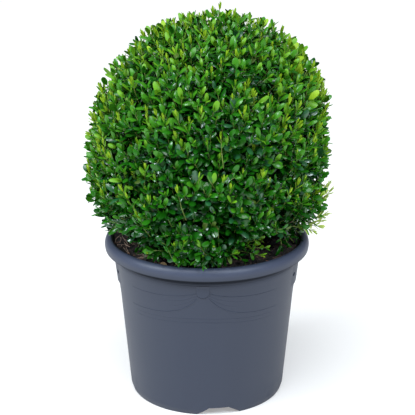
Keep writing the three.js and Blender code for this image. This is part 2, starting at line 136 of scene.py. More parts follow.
class Signal:
    """A node's output, on which arithmetic adds Math nodes."""

    def __init__(self, shader: "Shader", socket: bpy.types.NodeSocket) -> None:
        """Wraps a socket of a shader's tree."""
        self.shader = shader
        self.socket = socket

    def __add__(self, other: Value) -> "Signal":
        """The sum."""
        return self.shader.math("ADD", self, other)

    def __rsub__(self, other: Value) -> "Signal":
        """The difference, from a number."""
        return self.shader.math("SUBTRACT", other, self)

    def __mul__(self, other: Value) -> "Signal":
        """The product."""
        return self.shader.math("MULTIPLY", self, other)

    __radd__ = __add__
    __rmul__ = __mul__


class Shader:
    """A node material, written as expressions."""

    def __init__(self, name: str) -> None:
        """Starts a material of that name, with its output alone."""
        self.material = bpy.data.materials.new(name)
        self.material.use_nodes = True
        self.tree = self.material.node_tree
        self.tree.nodes.clear()
        self.output = self.tree.nodes.new("ShaderNodeOutputMaterial")

    def node(
        self, kind: str, output: Union[str, int] = 0, settings: dict | None = None, **inputs: Value
    ) -> Signal:
        """Adds a node, and gives one of its outputs.

        Args:
            kind: The node's type, without its ShaderNode prefix.
            output: The output's name or number.
            settings: Properties set before the inputs.
            **inputs: A value or a Signal for each socket, by name with _ for a space, or _0, _1 by number.

        Returns:
            The output, to reckon with.
        """
        made = self.tree.nodes.new("ShaderNode" + kind)
        for name, value in (settings or {}).items():
            setattr(made, name, value)
        for name, value in inputs.items():
            key = int(name[1:]) if name.startswith("_") else name.replace("_", " ")
            socket = made.inputs[key]
            if isinstance(value, Signal):
                self.tree.links.new(value.socket, socket)
            else:
                socket.default_value = value
        return Signal(self, made.outputs[output])

    def math(self, operation: str, *values: Value) -> Signal:
        """A Math node on signals and numbers."""
        inputs = {f"_{i}": value for i, value in enumerate(values)}
        return self.node("Math", 0, {"operation": operation}, **inputs)

    def place(self, scale: tuple = (1.0, 1.0, 1.0)) -> Signal:
        """Object coordinates, stretched by a scale along each axis."""
        return self.node("Mapping", Vector=self.node("TexCoord", "Object"), Scale=scale)

    def noise(self, place: Signal, scale: float, detail: float = 3.0, roughness: float = 0.5) -> Signal:
        """Soft random variation from 0 to 1, with so many spots to the metre."""
        return self.node("TexNoise", Vector=place, Scale=scale, Detail=detail, Roughness=roughness)

    def grain(self, scales: tuple, detail: float = 3.0, roughness: float = 0.5) -> Signal:
        """Soft random variation from 0 to 1, with so many spots to the metre along each axis."""
        return self.noise(self.place(scales), 1.0, detail, roughness)

    def step(self, factor: Signal, start: float, end: float) -> Signal:
        """A smooth rise from 0 to 1 as a signal goes from start to end."""
        settings = {"interpolation_type": "SMOOTHSTEP"}
        return self.node("MapRange", 0, settings, Value=factor, From_Min=start, From_Max=end)

    def mix(self, factor: Value, first: Value, second: Value) -> Signal:
        """A colour between two colours."""
        return self.node("Mix", 2, {"data_type": "RGBA"}, _0=factor, _6=first, _7=second)

    def bump(self, height: Signal, strength: float, distance: float) -> Signal:
        """A normal that leans as a height signal does."""
        return self.node("Bump", Height=height, Strength=strength, Distance=distance)

    def finish(self, **inputs: Value) -> Material:
        """Ends the material in a Principled shader with those inputs.

        Args:
            **inputs: A value or a Signal for each of the shader's sockets.

        Returns:
            The material.
        """
        surface = self.node("BsdfPrincipled", **inputs)
        self.tree.links.new(surface.socket, self.output.inputs["Surface"])
        return self.material


def opaque(colour: Sequence[float]) -> tuple:
    """A linear colour with its alpha."""
    return (*colour, 1.0)


# ---- finishes


@dataclass(frozen=True)
class PlasticFinish:
    """Satin polypropylene, blue-grey, with a fine orange peel, faint flow marks and handling scuffs."""

    colour: tuple = (0.0165, 0.0240, 0.0470)
    worn: tuple = (0.042, 0.052, 0.080)
    bleached: tuple = (0.044, 0.055, 0.094)  # painted light: a lighter, bluer tone on the rim's top, standing in for the sky's sheen on it
    clean: tuple = (0.007, 0.010, 0.018)  # painted shade: darker plastic in the groove under the rim, where shade falls
    rim_heights: tuple = (0.244, 0.257)  # over which the painted light on the rim's top comes in
    groove_foot: tuple = (0.2285, 0.2345)  # heights over which the painted shade in the groove comes, and below, goes
    groove_top: tuple = (0.2445, 0.2425)
    dust_heights: tuple = (0.05, 0.0)  # over which dust thickens towards the ground
    roughness: float = 0.42
    peel: tuple = (0.18, 0.0004)  # strength and depth

    def make(self) -> Material:
        """The plastic's material.

        Returns:
            The material.
        """
        shader = Shader("blue_grey_plastic")
        place = shader.place()
        cloud = shader.noise(place, 9.0, 4.0, 0.55)
        peel = shader.noise(place, 620.0, 2.0)
        flow = shader.grain((34.0, 34.0, 1.6), 3.0, 0.6)
        scuff = shader.step(shader.grain((90.0, 90.0, 420.0), 4.0, 0.7), 0.66, 0.78)
        scuff = scuff * shader.step(cloud, 0.45, 0.7)
        height = shader.node("SeparateXYZ", "Z", Vector=place)
        dust = shader.step(shader.noise(place, 55.0, 5.0, 0.65), 0.42, 0.72)
        dust = shader.step(height, *self.dust_heights) * dust
        wear = shader.math("MINIMUM", cloud * 0.22 + flow * 0.12 + scuff * 0.5 + dust * 0.35, 1.0)
        speck = shader.noise(place, 300.0, 3.0, 0.7)
        # painted light on the rim's top, by height, mottled
        rim_light_mask = shader.step(height, *self.rim_heights) * (0.5 + cloud * 0.4 + speck * 0.5)
        # painted shade in the groove under the rim, by height
        shade = shader.step(height, *self.groove_foot) * shader.step(height, *self.groove_top)
        colour = shader.mix(wear, opaque(self.colour), opaque(self.worn))
        colour = shader.mix(rim_light_mask, colour, opaque(self.bleached))
        colour = shader.mix(shade, colour, opaque(self.clean))
        rough = self.roughness + (cloud * 0.12 + scuff * 0.12 + dust * 0.2 + shade * 0.5)
        normal = shader.bump(peel * 0.5 + flow * 0.9 + scuff * 0.4, *self.peel)
        return shader.finish(Base_Color=colour, Roughness=rough, Normal=normal)


@dataclass(frozen=True)
class SoilFinish:
    """Damp peat compost, nearly black in its hollows and brown on its crumbs."""

    dark: tuple = (0.009, 0.007, 0.007)
    light: tuple = (0.160, 0.092, 0.072)
    tones: tuple = (0.46, 0.72)  # of the lumps, over which they go from dark to light
    relief: tuple = (0.9, 0.0016)  # strength and depth

    def make(self) -> Material:
        """The soil's material.

        Returns:
            The material.
        """
        shader = Shader("peat_compost")
        place = shader.place()
        lumps = shader.noise(place, 85.0, 5.0, 0.65)
        grains = shader.noise(place, 420.0, 4.0, 0.6)
        fibre = shader.grain((60.0, 700.0, 200.0))
        tone = shader.step(lumps * 0.6 + grains * 0.3 + fibre * 0.1, *self.tones)
        colour = shader.mix(tone, opaque(self.dark), opaque(self.light))
        rough = 0.98 - tone * 0.18
        normal = shader.bump(lumps * 0.5 + grains * 0.5, *self.relief)
        return shader.finish(Base_Color=colour, Roughness=rough, Normal=normal)


@dataclass(frozen=True)
class BarkFinish:
    """Box bark: pale grey-brown and corky, cracked lengthwise, green with algae in places."""

    crack: tuple = (0.040, 0.029, 0.019)
    ridge: tuple = (0.235, 0.178, 0.112)
    algae: tuple = (0.085, 0.105, 0.040)
    tones: tuple = (0.38, 0.62)
    relief: tuple = (0.8, 0.0012)  # strength and depth

    def make(self) -> Material:
        """The bark's material.

        Returns:
            The material.
        """
        shader = Shader("corky_bark")
        place = shader.place()
        cracks = shader.grain((330.0, 330.0, 70.0), 5.0, 0.6)
        grain = shader.noise(place, 900.0, 3.0)
        tone = shader.step(cracks * 0.8 + grain * 0.2, *self.tones)
        wood = shader.mix(tone, opaque(self.crack), opaque(self.ridge))
        green = shader.step(shader.noise(place, 38.0, 3.0), 0.52, 0.7)
        colour = shader.mix(green * 0.55, wood, opaque(self.algae))
        normal = shader.bump(cracks * 0.75 + grain * 0.25, *self.relief)
        return shader.finish(Base_Color=colour, Roughness=0.95 - tone * 0.15, Normal=normal)


@dataclass(frozen=True)
class FloorFinish:
    """Plain white paint."""

    colour: tuple = (0.70, 0.69, 0.68)
    glow: float = 0.47

    def make(self) -> Material:
        """The floor's material.

        Returns:
            The material.
        """
        return Shader("white_floor").finish(
            Base_Color=opaque(self.colour),
            Roughness=0.9,
            Emission_Color=opaque(self.colour),
            Emission_Strength=self.glow,
        )


@dataclass(frozen=True)
class PlantFinish:
    """One plain tint of a leaf, a green stem or a dry scrap, which whole sprays share."""

    name: str
    colour: tuple
    roughness: float = 0.42
    coat: float = 0.0
    specular: float = 0.5

    def make(self) -> Material:
        """The tint's material.

        Returns:
            The material.
        """
        shader = Shader(self.name)
        return shader.finish(
            Base_Color=opaque(self.colour),
            Roughness=self.roughness,
            Coat_Weight=self.coat,
            Coat_Roughness=0.25,
            Specular_IOR_Level=self.specular,
        )


# ---- mesh making


def move_each(bm: Shape, place: Place) -> None:
    """Moves each vertex of a bmesh to where place() puts it."""
    for vertex in bm.verts:
        vertex.co = place(vertex.co)


def soften(bm: Shape, sharp_angle: float = 35.0) -> None:
    """Shades a bmesh smooth, but for the edges that turn more than an angle in degrees.

    Args:
        bm: The shape.
        sharp_angle: The angle.
    """
    limit = math.radians(sharp_angle)
    for face in bm.faces:
        face.smooth = True
    for edge in bm.edges:
        edge.smooth = edge.calc_face_angle(0.0) < limit


def linked(name: str, data: bpy.types.ID) -> Piece:
    """Puts a mesh, a light or a camera into the scene, at the origin.

    Args:
        name: The object's name.
        data: Its mesh, light or camera.

    Returns:
        The object.
    """
    piece = bpy.data.objects.new(name, data)
    bpy.context.scene.collection.objects.link(piece)
    return piece


def piece_from(bm: Shape, name: str, material: Material) -> Piece:
    """Makes a bmesh a piece of the scene with a finish, and frees it.

    Args:
        bm: The shape, in place.
        name: The piece's name.
        material: Its finish.

    Returns:
        The piece.
    """
    mesh = bpy.data.meshes.new(name)
    bm.to_mesh(mesh)
    bm.free()
    mesh.materials.append(material)
    return linked(name, mesh)


def closed(bm: Shape, gap: float = 0.0) -> Shape:
    """Merges points that are nearer than a gap, and turns the faces outwards.

    Args:
        bm: The shape.
        gap: The gap, or 0 to merge nothing.

    Returns:
        The same bmesh.
    """
    if gap:
        bmesh.ops.remove_doubles(bm, verts=bm.verts[:], dist=gap)
    bmesh.ops.recalc_face_normals(bm, faces=bm.faces[:])
    return bm


def spun(profile: Sequence[tuple[float, float]], steps: int, azimuth: float = 0.0) -> Shape:
    """Turns a profile about the upright axis.

    Args:
        profile: Radius and height of each point, from axis to axis.
        steps: Sides of the turned shape.
        azimuth: Of its first corner, in degrees.

    Returns:
        A closed bmesh.
    """
    bm = bmesh.new()
    line = [bm.verts.new(around(azimuth, radius, height)) for radius, height in profile]
    edges = [bm.edges.new(pair) for pair in zip(line, line[1:])]
    about = {"cent": (0, 0, 0), "axis": (0, 0, 1), "angle": FULL_TURN}
    bmesh.ops.spin(bm, geom=line + edges, steps=steps, use_merge=True, **about)
    return closed(bm, 0.01 * MM)


def swept(path: Sequence[Vector], radii: Sequence[float], sides: int) -> Shape:
    """Draws a round section along a path.

    Args:
        path: The points of its centreline.
        radii: The section's radius at each of them.
        sides: Sides of the section.

    Returns:
        A closed bmesh.
    """
    stations = []
    side = None
    for i, point in enumerate(path):
        along = (path[min(i + 1, len(path) - 1)] - path[max(i - 1, 0)]).normalized()
        if side is None:
            side = along.orthogonal().normalized()
        side = (side - along * side.dot(along)).normalized()
        turn = Matrix((side, along.cross(side), along)).transposed().to_4x4()
        stations.append(Matrix.Translation(point) @ turn @ Matrix.Diagonal((*[radii[i]] * 3, 1.0)))
    bm = bmesh.new()
    bmesh.ops.create_circle(bm, cap_ends=True, segments=sides, radius=1.0, matrix=stations[0])
    ring = bm.edges[:]
    for before, after in zip(stations, stations[1:]):
        grown = bmesh.ops.extrude_edge_only(bm, edges=ring)["geom"]
        ring = [item for item in grown if isinstance(item, bmesh.types.BMEdge)]
        verts = [item for item in grown if isinstance(item, bmesh.types.BMVert)]
        bmesh.ops.transform(bm, matrix=after @ before.inverted(), space=Matrix.Identity(4), verts=verts)
        ring = [edge for edge in ring if all(vertex in verts for vertex in edge.verts)]
    bmesh.ops.holes_fill(bm, edges=ring, sides=0)
    return closed(bm)


def joined(parts: Sequence[Shape]) -> Shape:
    """Several shapes as one bmesh; the parts are freed.

    Args:
        parts: The shapes, in place.

    Returns:
        The bmesh.
    """
    whole = bmesh.new()
    for part in parts:
        mesh = bpy.data.meshes.new("part")
        part.to_mesh(mesh)
        part.free()
        whole.from_mesh(mesh)
        bpy.data.meshes.remove(mesh)
    return whole


def bezier(start: Vector, bend: Vector, end: Vector, steps: int) -> list[Vector]:
    """Points of a quadratic curve, both ends included."""
    shares = [i / steps for i in range(steps + 1)]
    return [start * (1 - t) ** 2 + bend * (2 * t * (1 - t)) + end * t**2 for t in shares]


@dataclass
class Template:
    """A small shape that is laid out many times in one mesh."""

    points: Array
    faces: list[list[int]]

    @classmethod
    def of(cls, bm: Shape) -> "Template":
        """Reads the shape from a bmesh, and frees it.

        Args:
            bm: The shape.

        Returns:
            The template.
        """
        bm.verts.index_update()
        points = np.array([vertex.co[:] for vertex in bm.verts])
        faces = [[vertex.index for vertex in face.verts] for face in bm.faces]
        bm.free()
        return cls(points, faces)


class Heap:
    """Collects copies of templates, and makes one mesh of them."""

    def __init__(self) -> None:
        """Starts with nothing."""
        self.points: list[Array] = []
        self.corners: list[Array] = []
        self.totals: list[Array] = []
        self.count = 0

    def lay(self, template: Template, points: Array) -> None:
        """Adds copies of a template, given the points of each copy in their place.

        Args:
            template: The shape.
            points: An array of copies by points by 3.
        """
        copies, size = points.shape[:2]
        if copies == 0:
            return
        corners = np.concatenate([np.array(face) for face in template.faces])
        totals = np.array([len(face) for face in template.faces])
        offsets = self.count + size * np.arange(copies)
        self.points.append(points.reshape(-1, 3))
        self.corners.append((corners[None, :] + offsets[:, None]).ravel())
        self.totals.append(np.tile(totals, copies))
        self.count += copies * size

    def piece(self, name: str, material: Material) -> Piece:
        """Makes one smooth piece of all that was laid.

        Args:
            name: The piece's name.
            material: Its finish.

        Returns:
            The piece, at the origin.
        """
        points = np.concatenate(self.points).astype(np.float32)
        corners = np.concatenate(self.corners).astype(np.int32)
        totals = np.concatenate(self.totals)
        mesh = bpy.data.meshes.new(name)
        mesh.vertices.add(len(points))
        mesh.vertices.foreach_set("co", points.ravel())
        mesh.loops.add(len(corners))
        mesh.loops.foreach_set("vertex_index", corners)
        mesh.polygons.add(len(totals))
        mesh.polygons.foreach_set("loop_start", (np.cumsum(totals) - totals).astype(np.int32))
        mesh.update(calc_edges=True)
        mesh.shade_smooth()
        mesh.materials.append(material)
        return linked(name, mesh)


# ---- the pot


@dataclass
class Pot:
    """The container: a tapering wall under a rolled rim, with swags and pads in relief, on a foot ring."""

    height: float = 262 * MM
    rim_radius: float = 165 * MM
    rim_depth: float = 20 * MM
    rim_width: float = 11 * MM
    rim_round: float = 9 * MM
    rim_rise: float = 1.35  # of the rim's round, beside its width
    neck_radius: float = 149.5 * MM
    ledge_height: float = 229.5 * MM
    groove_depth: float = 1.5 * MM
    band_height: float = 165 * MM
    band_radius: float = 140.3 * MM
    foot_radius: float = 126.3 * MM
    foot_bevel: tuple = (2.8 * MM, 9 * MM)  # width and height
    foot_width: float = 5.5 * MM
    floor_raise: float = 14 * MM
    wall: float = 3 * MM
    ring_heights: tuple = (12, 40, 80, 120, 165, 200, 222)  # of the wall's edge loops, in millimetres
    turn: float = -2.3  # azimuth of the pot's own front
    steps: int = 180
    arch_middles: tuple = (8.7, 128.7, 248.7)
    arch_halves: tuple = (16.6, 7.2)  # degrees, at the foot and at the top
    arch_height: float = 12.8 * MM
    arch_reach: tuple = (-16 * MM, 14 * MM)  # of its cutter, inwards and outwards from the foot's edge
    drain_count: int = 6
    drain_radius: float = 6 * MM
    drain_circle: float = 82 * MM
    panel_sink: float = 1.2 * MM  # of a raised panel's back, under the wall's face
    pad_half: float = 20.0  # degrees
    pad_foot: float = 186 * MM
    pad_thickness: float = 2.2 * MM
    strap_hole: tuple = (3.5 * MM, 4.5 * MM, 210 * MM)  # radius, depth and height
    strap_hole_turn: float = 16.0  # degrees from the pad's middle
    tab_half: float = 10.8 * MM
    tab_foot: float = 208.5 * MM
    tab_rises: tuple = (2.1 * MM, 0.3 * MM)  # at its foot and near its top
    bead_radius: float = 1.3 * MM
    band_lines: tuple = (172.5 * MM, 166 * MM)
    band_width: float = 1.2 * MM
    band_drop: float = 5.5 * MM
    band_bow: float = 27.0  # degrees over which a band drops
    band_half: float = 50.0  # degrees
    swag_start: float = 3.7  # degrees from the tab's middle
    # Each line of a swag: its width, how far it goes towards the pad, and its drape.
    swags: tuple = (
        (2.3 * MM, 0.72, (205 * MM, 12.5 * MM, 13.0)),
        (2.6 * MM, 0.75, (174.5 * MM, 36 * MM, 11.0)),
        (1.0 * MM, 0.34, (195 * MM, 19 * MM, 13.0)),
        (1.0 * MM, 0.26, (185 * MM, 27 * MM, 12.0)),
    )
    finish: PlasticFinish = field(default_factory=PlasticFinish)

    @property
    def neck_height(self) -> float:
        """Height of the rim's lower edge."""
        return self.height - self.rim_depth

    def wall_radius(self, height: float) -> float:
        """Outer radius of the wall at a height.

        Args:
            height: Over the ground.

        Returns:
            The radius.
        """
        if height <= self.band_height:
            low = self.foot_bevel[1]
            share = (height - low) / (self.band_height - low)
            return blend(self.foot_radius, self.band_radius, share)
        share = (height - self.band_height) / (self.neck_height - self.band_height)
        return blend(self.band_radius, self.neck_radius, share)

    @staticmethod
    def arc(centre: tuple, radii: tuple, start: float, end: float, steps: int) -> list[tuple[float, float]]:
        """Points of an upright ellipse's arc, between two angles in degrees from the horizontal.

        Args:
            centre: Radius and height of its centre.
            radii: Half its width and half its height.
            start: Its first angle.
            end: Its last angle.
            steps: How many parts it has.

        Returns:
            Radius and height of each point.
        """
        points = []
        for i in range(steps + 1):
            angle = math.radians(blend(start, end, i / steps))
            points.append((centre[0] + radii[0] * math.cos(angle), centre[1] + radii[1] * math.sin(angle)))
        return points

    def profile(self) -> list[tuple[float, float]]:
        """The wall's section, from the middle of the underside round to the middle of the floor.

        Returns:
            Radius and height of each point.
        """
        bevel_width, bevel_height = self.foot_bevel
        foot_outer = self.foot_radius - bevel_width
        foot_inner = foot_outer - self.foot_width
        neck, top = self.neck_height, self.height
        mouth = self.rim_radius - self.rim_width
        round_height = self.rim_round * self.rim_rise
        groove, groove_round, lip_round = self.neck_radius - self.groove_depth, 2 * MM, 2.2 * MM
        groove_inside = self.neck_radius - self.wall - self.groove_depth
        groove_middle = (groove + groove_round, neck - groove_round)
        lip_middle = (self.rim_radius - lip_round - 0.8 * MM, neck + lip_round)
        rim_middle = (self.rim_radius - self.rim_round, top - round_height)
        return [
            (0.0, self.floor_raise),
            (foot_inner * 0.5, self.floor_raise),
            (foot_inner - 1.5 * MM, self.floor_raise),
            (foot_inner + 0.5 * MM, self.floor_raise - 2 * MM),
            (foot_inner, 0.6 * MM),
            (foot_inner + 0.6 * MM, 0.0),
            (foot_outer - 0.8 * MM, 0.0),
            (foot_outer, 0.9 * MM),
            (self.foot_radius - 0.35 * MM, bevel_height - 0.8 * MM),
            (self.foot_radius, bevel_height + 0.3 * MM),
            *((self.wall_radius(ring * MM), ring * MM) for ring in self.ring_heights),
            (self.wall_radius(self.ledge_height), self.ledge_height - 0.8 * MM),
            (self.wall_radius(self.ledge_height) - 0.35 * self.groove_depth, self.ledge_height + 0.6 * MM),
            (groove, self.ledge_height + 2.6 * MM),
            (groove, neck - groove_round),
            *self.arc(groove_middle, (groove_round, groove_round), 180, 90, 4)[1:],
            (self.rim_radius - 6 * MM, neck),
            *self.arc(lip_middle, (lip_round, lip_round), -90, 0, 5),
            (self.rim_radius - 0.35 * MM, neck + 4.6 * MM),
            *self.arc(rim_middle, (self.rim_round, round_height), 0, 90, 14),
            (mouth + 1.6 * MM, top - 0.15 * MM),
            *self.arc((mouth + 1.2 * MM, top - 1.4 * MM), (1.2 * MM, 1.2 * MM), 90, 180, 4),
            (mouth - 1.5 * MM, top - 4 * MM),
            (groove_inside, neck),
            (groove_inside, self.ledge_height - 4 * MM),
            (self.wall_radius(self.band_height) - self.wall, self.band_height),
            (self.foot_radius - 1.3 * self.wall, self.floor_raise + 2.5 * self.wall),
            (self.foot_radius - 2.5 * self.wall, self.floor_raise + self.wall),
            (self.foot_radius * 0.5, self.floor_raise + self.wall),
            (0.0, self.floor_raise + self.wall),
        ]

    def on_wall(self, azimuth: float, height: float, rise: float) -> Vector:
        """The point that stands over the wall by a rise."""
        return around(azimuth, self.wall_radius(height) + rise, height)

    def panel(self, columns: int, rows: int, outline: Callable[[float, float], tuple]) -> Shape:
        """A raised panel that follows the wall, closed behind.

        Args:
            columns: Faces across.
            rows: Faces up.
            outline: Gives azimuth, height and rise for a place from -1 to 1 across and 0 to 1 up.

        Returns:
            The panel as a closed bmesh.
        """
        bm = bmesh.new()
        bmesh.ops.create_grid(bm, x_segments=columns, y_segments=rows, size=0.5)
        grown = bmesh.ops.extrude_face_region(bm, geom=bm.faces[:])["geom"]
        verts = [item for item in grown if isinstance(item, bmesh.types.BMVert)]
        bmesh.ops.translate(bm, vec=(0, 0, 1), verts=verts)

        def place(point: Vector) -> Vector:
            """Wraps the flat panel onto the wall."""
            azimuth, height, rise = outline(2 * point.x, point.y + 0.5)
            return self.on_wall(azimuth, height, rise if point.z > 0.5 else -self.panel_sink)

        move_each(bm, place)
        return closed(bm, 0.02 * MM)

    def pad(self, middle: float) -> Shape:
        """The raised pad for a carrying strap, whose edges slope back into the wall.

        Args:
            middle: Azimuth of its middle.

        Returns:
            A closed bmesh.
        """
        top = self.ledge_height - 0.2 * MM

        def outline(across: float, up: float) -> tuple:
            """The pad's face, eased down at its sides and foot."""
            side = smooth_step((1.06 - abs(across)) / 0.5)
            foot = smooth_step(up / 0.12)
            rise = blend(-0.2 * MM, self.pad_thickness, float(side * foot))
            return middle + across * self.pad_half, blend(self.pad_foot, top, up), rise

        return self.panel(56, 26, outline)

    def tab(self, middle: float) -> Shape:
        """The small U-shaped tab under the rim, which stands out most at its foot, and holds the swags.

        Args:
            middle: Azimuth of its middle.

        Returns:
            A closed bmesh.
        """
        top = self.ledge_height - 0.2 * MM
        round_share = self.tab_half / (top - self.tab_foot)

        def outline(across: float, up: float) -> tuple:
            """The tab's face: a half round below, straight sides above, and soft edges."""
            low = max(0.0, 1 - up / round_share)
            half = self.tab_half * math.sqrt(max(0.0, 1 - low * low))
            from_middle = math.sqrt(across * across * (1 - low * low) + low * low)
            edge = smooth_step((1 - from_middle) / 0.12)
            height = blend(self.tab_foot, top, up)
            azimuth = middle + math.degrees(across * half / self.wall_radius(height))
            rise = blend(*self.tab_rises, min(1.0, up / 0.85))
            return azimuth, height, blend(-0.5 * MM, rise, float(edge))

        return self.panel(18, 36, outline)

    def bead(self, middle: float) -> Shape:
        """The fine bead that runs round the foot of a tab.

        Args:
            middle: Azimuth of the tab's middle.

        Returns:
            A closed bmesh.
        """
        path, radii = [], []
        across = self.tab_half + 0.3 * MM
        for x, height in self.arc((0.0, self.tab_foot + self.tab_half), (across, across), -8, -172, 30):
            azimuth = middle + math.degrees(x / self.wall_radius(height))
            path.append(self.on_wall(azimuth, height, -0.4 * MM))
            radii.append(self.bead_radius * math.sqrt(1.02 - abs(x / across)))
        return swept(path, radii, 8)

    def line(self, start: float, end: float, width: float, height: Callable[[float], float]) -> Shape:
        """A fine raised line on the wall, which thins out towards its far end.

        Args:
            start: Azimuth of its near end, from the pot's own front or back.
            end: Azimuth of its far end.
            width: Of the line at its widest.
            height: Gives the line's height at an azimuth.

        Returns:
            The line as a closed bmesh.
        """
        steps = max(8, round(abs(end - start) * 0.8))
        path, radii = [], []
        for i in range(steps + 1):
            share = i / steps
            fade = min(1.0, 0.5 + 12 * share) * (1 - share) ** 0.7
            radii.append(width / 2 * blend(0.25, 1.0, fade))
            azimuth = blend(start, end, share)
            path.append(self.on_wall(self.turn + azimuth, height(azimuth), -0.4 * radii[-1]))
        return swept(path, radii, 8)

    def swag(self, start: float, end: float, width: float, drape: tuple) -> Shape:
        """A line of a swag, which falls away steeply from the tab and then hangs nearly level.

        Args:
            start: Azimuth of its near end.
            end: Azimuth of its far end.
            width: Of the line.
            drape: The height of its level part, its fall, and the azimuth over which it falls.

        Returns:
            The line as a closed bmesh.
        """
        low, fall, reach = drape
        middle = 180.0 if abs(start) > 90 else 0.0

        def height(azimuth: float) -> float:
            """The line's height."""
            return low + fall * math.exp((2.5 - abs(abs(azimuth) - middle)) / reach)

        return self.line(start, end, width, height)

    def band(self, middle: float, way: int, top: float) -> Shape:
        """One half of a fine level line under the swags, a little higher at its middle.

        Args:
            middle: Azimuth of its start, from the pot's own front.
            way: 1 or -1, for the half.
            top: Its height at its start.

        Returns:
            A closed bmesh.
        """

        def height(azimuth: float) -> float:
            """The line's height."""
            return top - self.band_drop * (1 - math.exp(-(((azimuth - middle) / self.band_bow) ** 2)))

        return self.line(middle - way * 2, middle + way * self.band_half, self.band_width, height)

    def relief(self) -> Shape:
        """The tabs, swags and bands, the same at the front and at the back.

        Returns:
            One bmesh of closed shapes.
        """
        parts = []
        for middle in (0.0, 180.0):
            parts += [self.tab(self.turn + middle), self.bead(self.turn + middle)]
            for way in (-1, 1):
                near, far = way * self.swag_start, way * (90 - self.pad_half)
                if middle:
                    near, far = way * (180 - self.swag_start), way * (90 + self.pad_half)
                for width, share, drape in self.swags:
                    parts.append(self.swag(near, blend(near, far, share), width, drape))
                for top in self.band_lines:
                    parts.append(self.band(middle, way, top))
        return joined(parts)

    def arch_cutter(self, middle: float) -> Shape:
        """A block across the foot ring, between two azimuths that close in towards its top.

        Args:
            middle: Azimuth of the arch's middle.

        Returns:
            A closed bmesh.
        """
        foot_half, top_half = self.arch_halves
        spread = (foot_half - top_half) / self.arch_height
        bm = bmesh.new()
        bmesh.ops.create_cube(bm, size=2.0)

        def place(point: Vector) -> Vector:
            """Bends the block round the foot."""
            height = self.arch_height if point.z > 0 else -1 * MM
            radius = self.foot_radius + self.arch_reach[point.y > 0]
            return around(middle + point.x * (foot_half - spread * height), radius, height)

        edges = [edge for edge in bm.edges if abs(edge.verts[0].co.x - edge.verts[1].co.x) > 1]
        bmesh.ops.subdivide_edges(bm, edges=edges, cuts=11, use_grid_fill=True)
        move_each(bm, place)
        return closed(bm)

    def drill(self, radius: float, depth: float, at: Vector, way: Vector) -> Shape:
        """A round cutter of a radius, as deep on each side of a point, along a way.

        Args:
            radius: Of the cutter.
            depth: On each side of the point.
            at: The point.
            way: Along the cutter.

        Returns:
            A closed bmesh.
        """
        bm = bmesh.new()
        turn = way.to_track_quat("Z", "Y").to_matrix().to_4x4()
        sizes = {"radius1": radius, "radius2": radius, "depth": 2 * depth}
        bmesh.ops.create_cone(bm, cap_ends=True, segments=24, matrix=Matrix.Translation(at) @ turn, **sizes)
        return bm

    def cutters(self) -> Shape:
        """All that is cut out of the pot: the foot's arches, the drain holes and the strap holes.

        Returns:
            One bmesh of closed shapes.
        """
        parts = [self.arch_cutter(middle) for middle in self.arch_middles]
        for i in range(self.drain_count):
            at = around((i + 0.5) * 360 / self.drain_count, self.drain_circle, self.floor_raise)
            parts.append(self.drill(self.drain_radius, 4 * self.wall, at, Vector((0, 0, 1))))
        radius, depth, height = self.strap_hole
        for side in (90, -90):
            for way in (-1, 1):
                azimuth = self.turn + side + way * self.strap_hole_turn
                at = self.on_wall(azimuth, height, self.pad_thickness)
                parts.append(self.drill(radius, depth, at, around(azimuth, 1.0, 0.0)))
        return joined(parts)

    def build(self) -> Piece:
        """The pot's body: turned, with its pads joined on, and cut.

        Returns:
            The piece.
        """
        material = self.finish.make()
        body = piece_from(spun(self.profile(), self.steps, self.turn), "pot_body", material)
        pads = piece_from(joined([self.pad(self.turn + side) for side in (90, -90)]), "pads", material)
        tools = piece_from(self.cutters(), "cutters", material)
        for other, operation in ((pads, "UNION"), (tools, "DIFFERENCE")):
            modifier = body.modifiers.new(operation, "BOOLEAN")
            modifier.operation = operation
            modifier.solver = "EXACT"
            modifier.object = other
        graph = bpy.context.evaluated_depsgraph_get()
        bm = bmesh.new()
        bm.from_mesh(body.evaluated_get(graph).to_mesh())
        body.modifiers.clear()
        for other in (pads, tools):
            bpy.data.objects.remove(other)
        bmesh.ops.remove_doubles(bm, verts=bm.verts[:], dist=0.005 * MM)
        soften(bm)
        bm.to_mesh(body.data)
        bm.free()
        return hand_over(body, Slot.PLASTIC, ["pot"])

    def dress(self) -> Piece:
        """The relief on its wall.

        Returns:
            The piece.
        """
        bm = self.relief()
        soften(bm)
        material = bpy.data.materials["blue_grey_plastic"]
        return hand_over(piece_from(bm, "pot_relief", material), Slot.PLASTIC)


# ---- the soil


